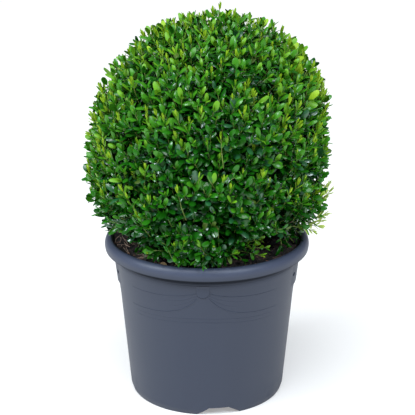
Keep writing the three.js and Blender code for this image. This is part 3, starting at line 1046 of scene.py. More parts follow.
@dataclass
class Soil:
    """The compost in the pot, lumpy on top, with crumbs, bark chips, dry twigs and fallen leaves."""

    pot: Pot
    edge_height: float = 255.5 * MM
    middle_height: float = 250.5 * MM
    flat_radius: float = 24 * MM
    lumps: float = 2.8 * MM
    rings: int = 54
    sides: int = 150
    gap: float = 0.6 * MM  # between the soil and the wall
    edge_room: float = 3 * MM  # between what lies on the soil and the wall
    crumb_count: int = 1500
    crumb_sizes: tuple = (1.3 * MM, 5.5 * MM)
    chip_count: int = 130
    chip_sizes: tuple = (4 * MM, 17 * MM)
    twig_count: int = 100
    twig_lengths: tuple = (9, 26)  # millimetres: the least, and the most that chance adds
    twig_radii: tuple = (0.3, 0.6)  # the same
    litter_count: int = 46
    litter_sizes: tuple = (11 * MM, 17 * MM)
    seed: int = 31

    @property
    def edge_radius(self) -> float:
        """Radius at which the soil meets the pot."""
        return self.pot.neck_radius - self.pot.groove_depth - self.pot.wall - self.gap

    @property
    def brim_radius(self) -> float:
        """Radius at which the soil's top meets the pot's inner wall, which widens towards the rim."""
        pot = self.pot
        mouth = pot.rim_radius - pot.rim_width - 1.5 * MM
        share = (self.edge_height - pot.neck_height) / (pot.height - 4 * MM - pot.neck_height)
        return blend(self.edge_radius, mouth, share) - 0.5 * MM

    def top(self, x: float, y: float) -> float:
        """Height of the soil's surface at a place.

        Args:
            x: Of the place.
            y: Of the place.

        Returns:
            The height.
        """
        radius, azimuth = math.hypot(x, y), math.atan2(x, -y)
        edge = self.brim_radius
        share = min(1.0, max(0.0, (radius - self.flat_radius) / (edge - self.flat_radius)))
        lump = math.sin(5 * azimuth + radius / (9 * MM)) + math.sin(11 * azimuth - radius / (5 * MM))
        level = blend(self.middle_height, self.edge_height, share) + self.lumps * lump / 2 * min(1, 4 * share)
        rough = noise.fractal(Vector((x, y, 0.0)) * 90, 0.8, 2.1, 4)
        return level + 1.1 * MM * rough

    def body(self) -> Shape:
        """The plug of soil, down to the pot's floor.

        Returns:
            A closed bmesh.
        """
        edge, floor = self.edge_radius, self.pot.floor_raise + self.pot.wall + 0.3 * MM
        top = [(self.brim_radius * (1 - i / self.rings), self.edge_height) for i in range(self.rings)]
        foot = self.pot.foot_radius - 2.5 * self.pot.wall
        inside = self.pot.wall_radius(self.pot.band_height) - self.pot.wall - self.gap
        below = [(0.0, floor), (foot - 1.5 * MM, floor), (foot + 2 * MM, floor + 5 * MM)]
        sides = [(inside, self.pot.band_height), (edge, self.pot.neck_height - 1 * MM)]
        bm = spun([*below, *sides, *top, (0.0, self.edge_height)], self.sides)

        def place(point: Vector) -> Vector:
            """Gives the top its lumps."""
            if point.z < self.edge_height - 1 * MM:
                return point
            return Vector((point.x, point.y, self.top(point.x, point.y)))

        move_each(bm, place)
        soften(bm, 80)
        return bm

    def sites(self, random: Random, count: int, rise: float = 0.0) -> Array:
        """Random places on the soil, or a little over it.

        Args:
            random: The generator to draw from.
            count: How many.
            rise: Their height over it.

        Returns:
            An array of places by 3.
        """
        radius = (self.brim_radius - 4 * MM) * np.sqrt(random.random(count))
        azimuth = FULL_TURN * random.random(count)
        x, y = radius * np.sin(azimuth), -radius * np.cos(azimuth)
        z = np.array([self.top(a, b) for a, b in zip(x, y)]) + rise
        return np.stack([x, y, z], axis=1)

    def scatter(self, random: Random, template: Template, count: int, sizes: tuple, tilt: float) -> Array:
        """The points of copies of a scrap, strewn over the soil.

        Args:
            random: The generator to draw from.
            template: The scrap, of unit size.
            count: How many.
            sizes: The least and the largest size.
            tilt: The most that one leans, in radians.

        Returns:
            An array of copies by points by 3.
        """
        at = self.sites(random, count, 0.15 * sizes[0])
        size = sizes[0] * (sizes[1] / sizes[0]) ** (random.random(count) ** 2)
        frames = []
        for i in range(count):
            spin = Matrix.Rotation(FULL_TURN * random.random(), 3, "Z")
            forwards, aside = (Matrix.Rotation(tilt * random.normal(), 3, axis) for axis in "XY")
            frames.append(np.array(spin @ (forwards @ aside)) * size[i])
        return np.einsum("nij,vj->nvi", np.array(frames), template.points) + at[:, None, :]

    def crumb(self, seed: int) -> Template:
        """A rough crumb of peat.

        Args:
            seed: Of its roughness.

        Returns:
            The crumb, about 1 wide.
        """
        bm = bmesh.new()
        bmesh.ops.create_icosphere(bm, subdivisions=1, radius=0.5)
        move_each(bm, lambda p: p * (1 + 0.45 * noise.noise(p * 3 + Vector((seed, 0, 0)))))
        return Template.of(bm)

    def chip(self) -> Template:
        """A flat splinter of composted bark.

        Returns:
            The splinter, about 1 long.
        """
        bm = bmesh.new()
        bmesh.ops.create_cube(bm, size=1.0)
        bmesh.ops.scale(bm, vec=(1.0, 0.42, 0.16), verts=bm.verts[:])
        rounding = {"offset": 0.05, "segments": 1, "profile": 0.5, "affect": "EDGES", "material": -1}
        bmesh.ops.bevel(bm, geom=bm.edges[:], **rounding)
        noise.seed_set(self.seed)  # which noise_vector() draws on
        move_each(bm, lambda p: p + noise.noise_vector(p * 2.3) * 0.12)
        return Template.of(bm)

    def dry_twig(self, random: Random) -> Shape:
        """A dry bit of twig that lies on the soil, where most lie to the left.

        Args:
            random: The generator to draw from.

        Returns:
            A closed bmesh.
        """
        middle = min((Vector(site) for site in self.sites(random, 2)), key=lambda site: site.x)
        length = (self.twig_lengths[0] + self.twig_lengths[1] * random.random() ** 1.5) * MM
        way = around(360 * random.random(), 1.0, 0.15 * random.normal())
        bend = around(360 * random.random(), 0.12 * length, 0.05 * length)
        radius = (self.twig_radii[0] + self.twig_radii[1] * random.random() ** 2) * MM
        path = []
        for point in bezier(middle - way * length / 2, middle + bend, middle + way * length / 2, 6):
            held = point.to_2d()
            if held.length > self.brim_radius - self.edge_room:
                held *= (self.brim_radius - self.edge_room) / held.length
            path.append(Vector((held.x, held.y, max(point.z, self.top(held.x, held.y)) + radius * 0.7)))
        return swept(path, [radius * blend(1.0, 0.6, i / 6) for i in range(7)], 6)

    def build(self) -> None:
        """The soil and all that lies on it."""
        random = np.random.default_rng(self.seed)
        material = SoilFinish().make()
        hand_over(piece_from(self.body(), "soil_body", material), Slot.SOIL, ["potting_soil"])
        heap = Heap()
        for seed in range(3):
            crumb = self.crumb(seed)
            count = self.crumb_count // 3
            heap.lay(crumb, self.scatter(random, crumb, count, self.crumb_sizes, 1.5))
        hand_over(heap.piece("soil_crumbs", material), Slot.SOIL)
        self.strew(random)

    def strew(self, random: Random) -> None:
        """Chips of bark, dry twigs and fallen leaves.

        Args:
            random: The generator to draw from.
        """
        chip = self.chip()
        tones = (
            PlantFinish("bark_chip_dark", (0.100, 0.052, 0.034), 0.85),
            PlantFinish("bark_chip_red", (0.210, 0.098, 0.062), 0.8),
        )
        for tone in tones:
            heap = Heap()
            heap.lay(chip, self.scatter(random, chip, self.chip_count // 2, self.chip_sizes, 0.35))
            hand_over(heap.piece(tone.name + "s", tone.make()), Slot.SOIL)
        bm = joined([self.dry_twig(random) for _ in range(self.twig_count)])
        soften(bm)
        straw = PlantFinish("dry_straw", (0.40, 0.27, 0.20), 0.75)
        hand_over(piece_from(bm, "soil_dry_twigs", straw.make()), Slot.BARK)
        leaf = LeafShape(width=0.5, fold=-0.1, recurve=0.12).template()
        litter = PlantFinish("dead_leaf", (0.29, 0.185, 0.095), 0.7)
        heap = Heap()
        heap.lay(leaf, self.scatter(random, leaf, self.litter_count, self.litter_sizes, 0.4))
        hand_over(heap.piece("soil_dead_leaves", litter.make()), Slot.LEAVES)


# ---- the crown's surface and its masses


@dataclass(frozen=True)
class HalfShape:
    """One half of the clipped surface: its height, and how square it is."""

    height: float
    power: float


@dataclass(frozen=True)
class Crown:
    """The clipped surface: half of a superellipsoid above its widest height and a squarer half below."""

    centre_height: float = 400 * MM
    radius: float = 189 * MM
    above: HalfShape = HalfShape(220 * MM, 2.17)
    below: HalfShape = HalfShape(155 * MM, 4.0)
    lean: float = 11 * MM
    lean_height: float = 110 * MM
    swell: float = 0.018

    @property
    def centre(self) -> Array:
        """The crown's centre."""
        return np.array([0.0, 0.0, self.centre_height])

    def directions(self, azimuths: Array, polars: Array) -> Array:
        """Unit vectors for azimuths and polar angles in degrees.

        Args:
            azimuths: Of the places, in degrees.
            polars: Their polar angles.

        Returns:
            The vectors.
        """
        turns, falls = np.radians(azimuths), np.radians(polars)
        level = np.sin(falls)
        return np.stack([level * np.sin(turns), -level * np.cos(turns), np.cos(falls)], axis=-1)

    def reach(self, directions: Array) -> Array:
        """How far the clipped surface is from the crown's centre in each direction.

        Args:
            directions: Unit vectors.

        Returns:
            A distance for each.
        """
        x, y, z = np.moveaxis(directions, -1, 0)
        height = np.where(z >= 0, self.above.height, self.below.height)
        power = np.where(z >= 0, self.above.power, self.below.power)
        even = ((np.hypot(x, y) / self.radius) ** power + (np.abs(z) / height) ** power) ** (-1 / power)
        azimuth = np.arctan2(x, -y)
        waves = np.sin(3 * azimuth + 1) * np.sin(4 * z) + np.cos(5 * azimuth) * z
        return even * (1 + self.swell * waves * (1 - z * z))

    def lean_at(self, heights: Array) -> Array:
        """How far the crown leans towards +X at each height."""
        return self.lean * smooth_step((heights - self.centre_height) / self.lean_height)

    def points(self, azimuths: Array, polars: Array, shares: Any) -> Array:
        """Points at a share of the way from the centre to the clipped surface.

        Args:
            azimuths: Of the places, in degrees.
            polars: Their polar angles.
            shares: Of the way to the surface.

        Returns:
            The points.
        """
        directions = self.directions(azimuths, polars)
        points = directions * (shares * self.reach(directions))[..., None] + self.centre
        points[..., 0] += self.lean_at(points[..., 2])
        return points

    def point(self, azimuth: float, polar: float, share: float) -> Vector:
        """One such point."""
        return Vector(self.points(np.array([azimuth]), np.array([polar]), np.array([share]))[0])

    def outward(self, azimuths: Array, polars: Array) -> Array:
        """The way that the clipped surface faces.

        Args:
            azimuths: Of the places, in degrees.
            polars: Their polar angles.

        Returns:
            A unit vector for each place.
        """
        step, whole = 1.0, np.ones_like(azimuths)
        tilted = np.clip(polars, 2 * step, 180 - 2 * step)
        across = self.points(azimuths + step, tilted, whole) - self.points(azimuths - step, tilted, whole)
        down = self.points(azimuths, tilted + step, whole) - self.points(azimuths, tilted - step, whole)
        return unit(np.cross(down, across))


@dataclass(frozen=True)
class Seams:
    """Where the six masses of the crown meet: one on top, and five side by side below it."""

    crown: Crown
    top_polar: float = 41.0
    side_count: int = 5
    wave: float = 5.0

    @property
    def sector(self) -> float:
        """Azimuth from one side mass to the next."""
        return 360 / self.side_count

    def side_azimuths(self, number: int, polars: Array) -> Array:
        """Where the seam after a side mass runs, at each polar angle."""
        phase = 1.7 * (number % self.side_count)
        return (number + 0.5) * self.sector + self.wave * np.sin(np.radians(3.2 * polars) + phase)

    def top_edge(self, azimuths: Array) -> Array:
        """Where the top mass ends, at each azimuth."""
        return self.top_polar + 0.7 * self.wave * np.sin(np.radians(5 * azimuths) + 0.6)

    def owners(self, azimuths: Array, polars: Array) -> Array:
        """The mass that each place is in: 0 for the top one, then 1 to 5.

        Args:
            azimuths: Of the places, in degrees.
            polars: Their polar angles.

        Returns:
            The mass's number for each place.
        """
        owners = np.zeros(len(azimuths), int)
        for side in range(self.side_count):
            before = (azimuths - self.side_azimuths(side - 1, polars)) % 360
            after = (self.side_azimuths(side, polars) - azimuths) % 360
            owners[(before < 180) & (after < 180)] = side + 1
        owners[polars < self.top_edge(azimuths)] = 0
        return owners

    def distances(self, azimuths: Array, polars: Array) -> Array:
        """How far each place on the clipped surface is from the nearest seam.

        Args:
            azimuths: Of the places, in degrees.
            polars: Their polar angles.

        Returns:
            A distance for each place.
        """
        reach = self.crown.reach(self.crown.directions(azimuths, polars))
        nearest = np.abs(polars - self.top_edge(azimuths))
        below = polars > self.top_edge(azimuths)
        for side in range(self.side_count):
            turn = np.abs((azimuths - self.side_azimuths(side, polars) + 180) % 360 - 180)
            beside = turn * np.sin(np.radians(polars))
            nearest = np.where(below, np.minimum(nearest, beside), nearest)
        return np.radians(nearest) * reach


# ---- leaves


@dataclass(frozen=True)
class LeafShape:
    """A leaf's outline and its bend, as shares of its length."""

    width: float = 0.45
    widest: float = 0.53
    fold: float = 0.10  # how far its margins droop
    recurve: float = 0.09  # how far its tip bends back
    notch: float = 0.03

    def half_width(self, along: float) -> float:
        """Half of the leaf's width at a share of its length.

        Args:
            along: The share, from its base.

        Returns:
            The half width, as a share of its length.
        """
        if along < self.widest:
            return self.width / 2 * math.sin(along / self.widest * math.pi / 2) ** 0.85
        past = (along - self.widest) / (1 - self.widest)
        return self.width / 2 * math.sqrt(max(0.0, 1 - past**1.75))

    def template(self, stations: tuple = (0.0, 0.17, 0.4, 0.64, 0.86, 1.0)) -> Template:
        """The leaf with its base at the origin, its tip along +Y and its upper face along +Z.

        Args:
            stations: The shares of its length at which it has points.

        Returns:
            The leaf, of length one.
        """
        bm = bmesh.new()
        rows = len(stations) - 1
        bmesh.ops.create_grid(bm, x_segments=2, y_segments=rows, size=0.5)

        def place(point: Vector) -> Vector:
            """Gives the flat grid the leaf's outline and bend."""
            along = stations[round((point.y + 0.5) * rows)]
            across = 2 * point.x
            half = self.half_width(along)
            tip = along - (self.notch if along == 1.0 else 0.0)
            droop = self.fold * across * across * half / (self.width / 2)
            return Vector((across * half, tip, self.recurve * math.sin(math.pi * along) - droop))

        move_each(bm, place)
        bmesh.ops.remove_doubles(bm, verts=bm.verts[:], dist=1e-4)
        return Template.of(bm)


class Tint(Enum):
    """The plain tints of the foliage, from the youngest to the oldest, then the odd ones; the darkest also
    stand for painted shade inside the crown.
    """

    YELLOW_GREEN = PlantFinish("leaf_yellow_green", (0.265, 0.450, 0.016), 0.42, 0.0, 0.25)
    FRESH = PlantFinish("leaf_fresh", (0.120, 0.320, 0.011), 0.38, 0.0, 0.3)
    LIGHT = PlantFinish("leaf_light", (0.043, 0.205, 0.008), 0.27, 0.0, 0.34)
    MID = PlantFinish("leaf_mid", (0.015, 0.124, 0.004), 0.22, 0.0, 0.38)
    MATURE = PlantFinish("leaf_mature", (0.006, 0.078, 0.003), 0.19, 0.0, 0.44)
    DARK = PlantFinish("leaf_dark", (0.004, 0.060, 0.001), 0.32, 0.0, 0.20)
    # near black: the innermost leaves, partly old and partly darkened as painted shade inside the crown
    DEEP = PlantFinish("leaf_deep", (0.002, 0.030, 0.001), 0.5, 0.0, 0.02)
    BLUISH = PlantFinish("leaf_bluish", (0.013, 0.090, 0.026), 0.28, 0.45, 0.6)
    OLIVE = PlantFinish("leaf_olive", (0.065, 0.125, 0.012), 0.45, 0.0, 0.3)
    PALE = PlantFinish("leaf_pale", (0.480, 0.600, 0.150), 0.45, 0.0, 0.2)


TINTS = list(Tint)
OLDEST, BLUISH, OLIVE, PALE = (TINTS.index(tint) for tint in (Tint.DEEP, Tint.BLUISH, Tint.OLIVE, Tint.PALE))


def varied(random: Random, count: int, share: float) -> Array:
    """Random factors about 1, which spread by a share."""
    return 1 + share * random.normal(size=count)


@dataclass(frozen=True)
class Spray:
    """Sprigs from one root that the shears have missed, or that hang over the soil, in millimetres."""

    root: tuple
    tips: tuple
    youth: float = 1.0  # over 1 for pale sprigs
    tone: float = -0.6
    size: float = 0.9  # of its leaves, as a share of the full size


@dataclass
class Shoots:
    """Leafy shoots, each a short curved stem with pairs of leaves set crosswise along it."""

    roots: Array
    bends: Array
    tips: Array
    youth: Array  # from 0, old wood, to 1, this spring's growth, and over 1 for pale sprigs
    tone: Array  # a shift of the shoot's tints, in steps
    owners: Array
    light: Array  # the way that the leaves turn their upper faces, longer where they turn more
    size: Array  # of its leaves, as a share of the full size
    free: Array  # true where it may hang over the soil

    def at(self, shares: Array) -> tuple[Array, Array]:
        """Each stem's point and direction at a share of its length.

        Args:
            shares: One for each stem, from its root.

        Returns:
            The points, and the directions.
        """
        t = shares[:, None]
        points = self.roots * (1 - t) ** 2 + self.bends * 2 * t * (1 - t) + self.tips * t**2
        ways = (self.bends - self.roots) * (1 - t) + (self.tips - self.bends) * t
        return points, unit(ways)

    @property
    def lengths(self) -> Array:
        """The length of each stem, nearly."""
        return np.linalg.norm(self.tips - self.roots, axis=1)


@dataclass
class Leaves:
    """Leaves as arrays: their bases, their axes, their sizes and their tints."""

    bases: Array
    frames: Array
    tints: Array
    shapes: Array
    free: Array  # true where it may hang over the soil

    def select(self, keep: Array) -> "Leaves":
        """Those leaves that a mask keeps."""
        return Leaves(*(getattr(self, item.name)[keep] for item in fields(self)))

    @classmethod
    def gathered(cls, sets: Sequence["Leaves"]) -> "Leaves":
        """All the leaves of several sets."""
        return cls(*(np.concatenate([getattr(some, item.name) for some in sets]) for item in fields(cls)))


YOUNG_SHAPE = 2  # among the leaves' shapes


@dataclass
class Foliage:
    """The crown's shoots and their leaves: outer and inner ones by a rule, and sprigs one by one."""

    crown: Crown
    seams: Seams
    pot: Pot
    site_count: int = 2080  # on a whole sphere
    inner_count: int = 1800
    fresh_share: float = 0.83  # of youth, above which a shoot is this spring's
    lowest_polar: float = 150.0
    furrow: float = 6 * MM
    furrow_width: float = 9 * MM
    hem_depth: float = 13 * MM  # how far the lowest leaves are drawn in over the soil
    hem_rise: float = 36 * MM  # how much higher they end there
    hem_start: float = 75 * MM  # radius from which the foot is open
    hem_width: float = 50 * MM
    lowest_leaf: float = 252.5 * MM
    inner_age: float = 1.9  # tints by which the inner leaves are darker: partly older leaves, partly painted shade inside the crown
    seed: int = 7
    # Tables of angles in degrees and of the values there, by polar angle unless they say by azimuth.
    open_foot: tuple = (  # by azimuth, how far the crown's foot is open
        (-180, -150, -115, -90, -75, -50, -33, 10, 24, 80, 100, 125, 160, 180),
        (0.3, 0.7, 0.3, 0.5, 1.0, 1.0, 0.0, 0.0, 1.3, 1.1, 0.4, 0.6, 0.2, 0.3),
    )
    rises: tuple = ((0, 50, 95, 118, 150), (0.3, 1.0, 1.25, 0.7, 0.15))  # how far shoots turn up
    # tints by polar angle, lighter on top and darker towards the foot: partly younger and older leaves,
    # partly painted light above and painted shade below
    tones: tuple = ((0, 35, 60, 90, 115, 140), (-0.85, -0.55, 0.0, 0.45, 0.95, 1.3))
    # the same for the inner shoots: partly painted light near the top
    inner_tones: tuple = ((0, 60, 90), (-1.0, -0.6, 0.0))
    turned: tuple = ((100, 125), (1.0, 0.35))  # how far leaves turn to the light
    leaf_sizes: tuple = ((0, 40, 80), (0.84, 0.92, 1.0))
    drawn_in: tuple = ((0, 30, 60, 95, 150), (5, 1.5, 0, 3, 5))  # millimetres under the clipped surface
    hollows: tuple = ((0, 60, 100, 150), (-0.2, -0.08, 0.05, 0.05))
    growths: tuple = ((0, 60, 110, 150), (0.35, 0.15, 0.0, -0.15))
    sparse: tuple = ((108, 124), (0.0, 0.16))  # the share of shoots that is missing
    inner_depths: tuple = ((0, 35, 60), (9, 12, 20))  # millimetres
    # Azimuths and polar angles of spots, how far each spreads, and how strong it is.
    growth_spots: tuple = (((-68, 88), (62, 62), (10, 25), (150, 70)), (28, 22), 0.7)  # more of this spring's
    hollow_spots: tuple = (((88, 116), (-95, 122)), (24, 14), 0.4)  # drawn in and thin
    sprays: tuple = (
        Spray((16, 0, 582), ((20, 0, 631), (10, -2, 622), (33, -3, 618))),
        Spray((74, 0, 556), ((78, -4, 600), (88, 0, 591))),
        Spray((140, -4, 488), ((170, -8, 524),)),
        Spray((138, 13, 490), ((166, 14, 534), (173, 20, 512)), youth=0.5),
        Spray((-150, 26, 392), ((-186, 30, 420),)),
        Spray((174, -24, 312), ((193, -22, 353), (187, -30, 350), (194, -26, 342)), youth=1.5),
        Spray((148, -50, 322), ((160, -88, 368), (153, -93, 362), (167, -78, 356))),
        Spray((146, -30, 285), ((187, -20, 301), (182, -28, 294)), youth=1.5),
        Spray((138, -46, 292), ((178, -33, 286), (169, -43, 281)), youth=1.5),
        Spray(
            (31, -105, 273),
            ((80, -116, 294), (91, -120, 282), (82, -122, 270), (74, -110, 284)),
            youth=0.5,
            tone=-2.7,
            size=0.68,
        ),
        Spray((32, -108, 280), ((55, -122, 262),), youth=0.5),
        Spray(
            (-6, -114, 285),
            ((-6, -164, 269), (-16, -148, 270), (9, -150, 268), (0, -142, 266)),
            youth=0.5,
        ),
        Spray((-146, -20, 316), ((-180, -12, 329),), youth=0.5),
        Spray((-132, -30, 288), ((-164, -22, 299),), youth=0.5),
        Spray((-118, -50, 292), ((-152, -42, 281),), youth=0.5),
        Spray((-82, -87, 309), ((-97, -103, 276), (-108, -97, 272)), youth=0.5),
        Spray((112, -62, 296), ((127, -74, 270), (137, -58, 268), (116, -86, 272)), youth=0.5, tone=0.6),
        Spray((124, -34, 292), ((143, -36, 268), (147, -18, 270)), youth=0.5, tone=0.6),
        Spray((50, 112, 300), ((60, 150, 300),), youth=0.5),
        Spray((-58, 100, 296), ((-70, 138, 290),)),
    )
    # Each pair's distance from the shoot's tip, its splay from the stem and its leaves' length.
    pairs: tuple = (
        (0.0, 2.5, 12.0, 22.0, 32.0, 42.0, 52.0),
        (6.0, 30.0, 56.0, 66.0, 72.0, 76.0, 78.0),
        (9.5, 17.5, 19.0, 19.0, 18.0, 17.0, 16.0),
    )
    fresh_pairs: tuple = (
        (0.0, 4.0, 9.0, 17.0, 27.0, 38.0, 50.0),
        (8.0, 17.0, 29.0, 45.0, 60.0, 70.0, 76.0),
        (10.5, 12.5, 14.0, 16.0, 17.5, 18.0, 17.0),
    )
    shoot_lengths: tuple = (44, 16)  # millimetres: the least, and the most that chance adds
    fresh_rise: float = 2.4  # how much more a fresh shoot turns up
    root_rise: float = 0.3  # how far a shoot's root turns up, as a share of its tip
    rise_spread: float = 0.3
    sways: tuple = (0.24, 0.34)  # how far chance turns a shoot's tip and its root
    tone_spread: float = 0.4  # tints, from shoot to shoot
    patch_tones: tuple = (0.9, 22)  # tints, and patches to the metre
    side_tone: float = 0.65  # tints by which the crown's left and right sides are lighter: painted light
    # tints by which the inner shoots' left and right sides are lighter: painted light
    inner_side_tone: float = 0.6
    depth_spread: float = 6.5 * MM
    hollow_depth: float = 18 * MM
    fresh_stand: float = 3 * MM  # how far fresh shoots stand out
    growth_pull: float = 0.26
    hem_polars: tuple = (114, 16)  # where the hem starts, and over how far it comes
    inner_spread: float = 26  # millimetres
    clipped_share: float = 0.3  # of youth, below which the shears took a shoot's tip
    tint_spread: float = 0.4  # tints, from leaf to leaf
    scale_spread: float = 0.17  # of one shoot's leaves beside another's
    scale_limits: tuple = (0.65, 1.2)
    step_spread: float = 0.15
    splay_spread: float = 0.16
    length_spread: float = 0.1
    broad_spread: float = 0.1
    turn_spread: float = 0.16  # radians
    facing: tuple = (0.78, 0.28)  # how far leaves face the light, and how far they face anywhere
    first_age: float = 1.3  # tints from the youngest, for the leaves at a shoot's tip
    pair_age: float = 0.8
    fresh_age: float = -1.75
    clipped_age: float = 0.2
    hanging_age: float = 1.3
    bluish_share: float = 0.12
    olive_share: float = 0.015
    young_rows: int = 3  # pairs of a fresh shoot that have young leaves
    pale_rows: int = 4
    plain_stations: tuple = (0.0, 0.34, 0.74, 1.0)  # along the darkest leaves
    shapes: tuple = (
        LeafShape(),
        LeafShape(width=0.38, fold=0.05, recurve=0.12),
        LeafShape(width=0.27, widest=0.52, fold=-0.06, recurve=-0.04, notch=0.0),
    )

    def even_sites(self, count: int, random: Random) -> tuple[Array, Array]:
        """Azimuths and polar angles of an even spiral over the crown, with a little scatter.

        Args:
            count: Sites on the whole sphere.
            random: The generator to draw from.

        Returns:
            The azimuths and the polar angles, in degrees.
        """
        number = np.arange(count)
        scatter = 0.55 * math.degrees(math.sqrt(4 * math.pi / count))
        polars = np.degrees(np.arccos(1 - 2 * (number + 0.5) / count))
        polars = polars + scatter * (random.random(count) - 0.5)
        azimuths = number * GOLDEN_TURN + scatter * (random.random(count) - 0.5) / np.sin(np.radians(polars))
        keep = (polars > 0) & (polars < self.lowest_polar)
        return (azimuths[keep] + 180) % 360 - 180, polars[keep]

    def shoots_from(
        self,
        azimuths: Array,
        polars: Array,
        depths: Array,
        youth: Array,
        random: Random,
    ) -> Shoots:
        """Shoots whose tips lie under the clipped surface by their depths, and which turn up to the light.

        Args:
            azimuths: Where each shoot's tip is.
            polars: Its polar angle.
            depths: How far it is under the clipped surface.
            youth: Of each shoot, from 0 to 1.
            random: The generator to draw from.

        Returns:
            The shoots that have room.
        """
        count = len(azimuths)
        surface = self.crown.points(azimuths, polars, np.ones(count))
        outward = self.crown.outward(azimuths, polars)
        clipped_rise = varied(random, count, self.rise_spread)
        rise = np.where(youth > self.fresh_share, self.fresh_rise, clipped_rise)
        rise = np.interp(polars, *self.rises) * rise
        aside = random.normal(size=(count, 3))
        tip_way = unit(outward + rise[:, None] * UP + self.sways[0] * aside)
        root_way = unit(outward + self.root_rise * rise[:, None] * UP + self.sways[1] * aside)
        length = (self.shoot_lengths[0] + self.shoot_lengths[1] * random.random(count)) * MM
        tips = surface - outward * depths[:, None]
        bends = tips - tip_way * 0.5 * length[:, None]
        roots = bends - root_way * 0.5 * length[:, None]
        tone = self.tone_spread * random.normal(size=count)
        tone = tone + self.patch_tones[0] * self.patches(surface, self.patch_tones[1])
        # tints by polar angle: partly leaf age, partly painted light on top and painted shade towards the
        # foot
        tone = tone + np.interp(polars, *self.tones)
        # painted light: lighter tints towards the crown's left and right sides
        tone = tone - self.side_tone * (surface[:, 0] / self.crown.radius) ** 2
        light = unit(0.8 * outward + 0.6 * UP) * np.interp(polars, *self.turned)[:, None]
        owners = self.seams.owners(azimuths, polars)
        size = np.interp(polars, *self.leaf_sizes)
        free = np.full(count, False)
        keep = self.has_room(np.stack([roots, bends, tips], axis=1), free)
        values = (roots, bends, tips, youth, tone, owners, light, size, free)
        return Shoots(*(each[keep] for each in values))

    @staticmethod
    def patches(points: Array, scale: float, shift: tuple = (0, 0, 0)) -> Array:
        """A soft random value at each point, alike where points are near each other."""
        return np.array([noise.noise(Vector(point) * scale + Vector(shift)) for point in points])

    @staticmethod
    def spotted(azimuths: Array, polars: Array, spots: tuple, spread: tuple, strength: float) -> Array:
        """What some spots add at each place, which is most at each spot's middle.

        Args:
            azimuths: Of the places, in degrees.
            polars: Their polar angles.
            spots: Azimuth and polar angle of each spot.
            spread: Of each spot, across and down.
            strength: At a spot's middle.

        Returns:
            The sum for each place.
        """
        total = np.zeros(len(azimuths))
        for azimuth, polar in spots:
            turn = (azimuths - azimuth + 180) % 360 - 180
            total += strength * np.exp(-((turn / spread[0]) ** 2) - ((polars - polar) / spread[1]) ** 2)
        return total

    def outer_shoots(self, random: Random) -> Shoots:
        """The shoots that make the clipped surface, drawn in along the seams.

        Args:
            random: The generator to draw from.

        Returns:
            The shoots that have room.
        """
        azimuths, polars = self.even_sites(self.site_count, random)
        count = len(azimuths)
        furrow = self.furrow * np.exp(-((self.seams.distances(azimuths, polars) / self.furrow_width) ** 2))
        drawn_in = np.interp(polars, *self.drawn_in) * MM
        hem = smooth_step((polars - self.hem_polars[0]) / self.hem_polars[1])
        drawn_in = drawn_in + self.hem_depth * self.open_side(azimuths) * hem
        depths = drawn_in + self.depth_spread * np.abs(random.normal(size=count)) + furrow
        places = self.crown.points(azimuths, polars, np.ones(count))
        hollow = self.patches(places, 26, (7, 0, 0)) + np.interp(polars, *self.hollows)
        hollow = hollow + self.spotted(azimuths, polars, *self.hollow_spots)
        growth = self.patches(places, 17, (0, 3, 0)) + np.interp(polars, *self.growths)
        growth = growth + self.spotted(azimuths, polars, *self.growth_spots)
        youth = np.clip(random.random(count) + self.growth_pull * growth, 0, 1)
        depths = depths + self.hollow_depth * np.clip(hollow, 0, 0.5)
        depths = np.where(youth > self.fresh_share, depths - self.fresh_stand, depths)
        kept = random.random(count) > 0.9 * np.clip(hollow + 0.12, 0, 0.6) + np.interp(polars, *self.sparse)
        return self.shoots_from(azimuths[kept], polars[kept], depths[kept], youth[kept], random)

    def sprig_shoots(self, random: Random) -> Shoots:
        """The sprigs that the shears have missed, and those that hang over the soil.

        Args:
            random: The generator to draw from.

        Returns:
            The sprigs.
        """
        each = [
            (tip, spray.root, spray.youth, spray.tone, spray.size)
            for spray in self.sprays
            for tip in spray.tips
        ]
        tips, roots, youth, tone, size = (np.array(values, float) for values in zip(*each))
        tips, roots = tips * MM, roots * MM
        outward = unit(tips - self.crown.centre)
        azimuths = np.degrees(np.arctan2(tips[:, 0], -tips[:, 1]))
        owners = self.seams.owners(azimuths, np.degrees(np.arccos(outward[:, 2])))
        bends = (tips + roots) / 2 + 4 * MM * UP
        tone = tone + 0.3 * random.normal(size=len(tips))
        light = unit(0.4 * outward + 0.5 * UP + 0.8 * FRONT)
        return Shoots(roots, bends, tips, youth, tone, owners, light, size, np.full(len(tips), True))

    def inner_shoots(self, random: Random) -> Shoots:
        """Older shoots behind the surface, which close the view into the crown.

        Args:
            random: The generator to draw from.

        Returns:
            The shoots that have room.
        """
        azimuths, polars = self.even_sites(self.inner_count, random)
        count = len(azimuths)
        depths = (np.interp(polars, *self.inner_depths) + self.inner_spread * random.random(count)) * MM
        shoots = self.shoots_from(azimuths, polars, depths, np.full(count, 0.1), random)
        falls = np.degrees(np.arccos(unit(shoots.tips - self.crown.centre)[:, 2]))
        # tints by polar angle: partly leaf age, partly painted light near the top
        shoots.tone += np.interp(falls, *self.inner_tones)
        # painted light: lighter tints towards the crown's left and right sides
        shoots.tone -= self.inner_side_tone * (shoots.tips[:, 0] / self.crown.radius) ** 2
        return shoots

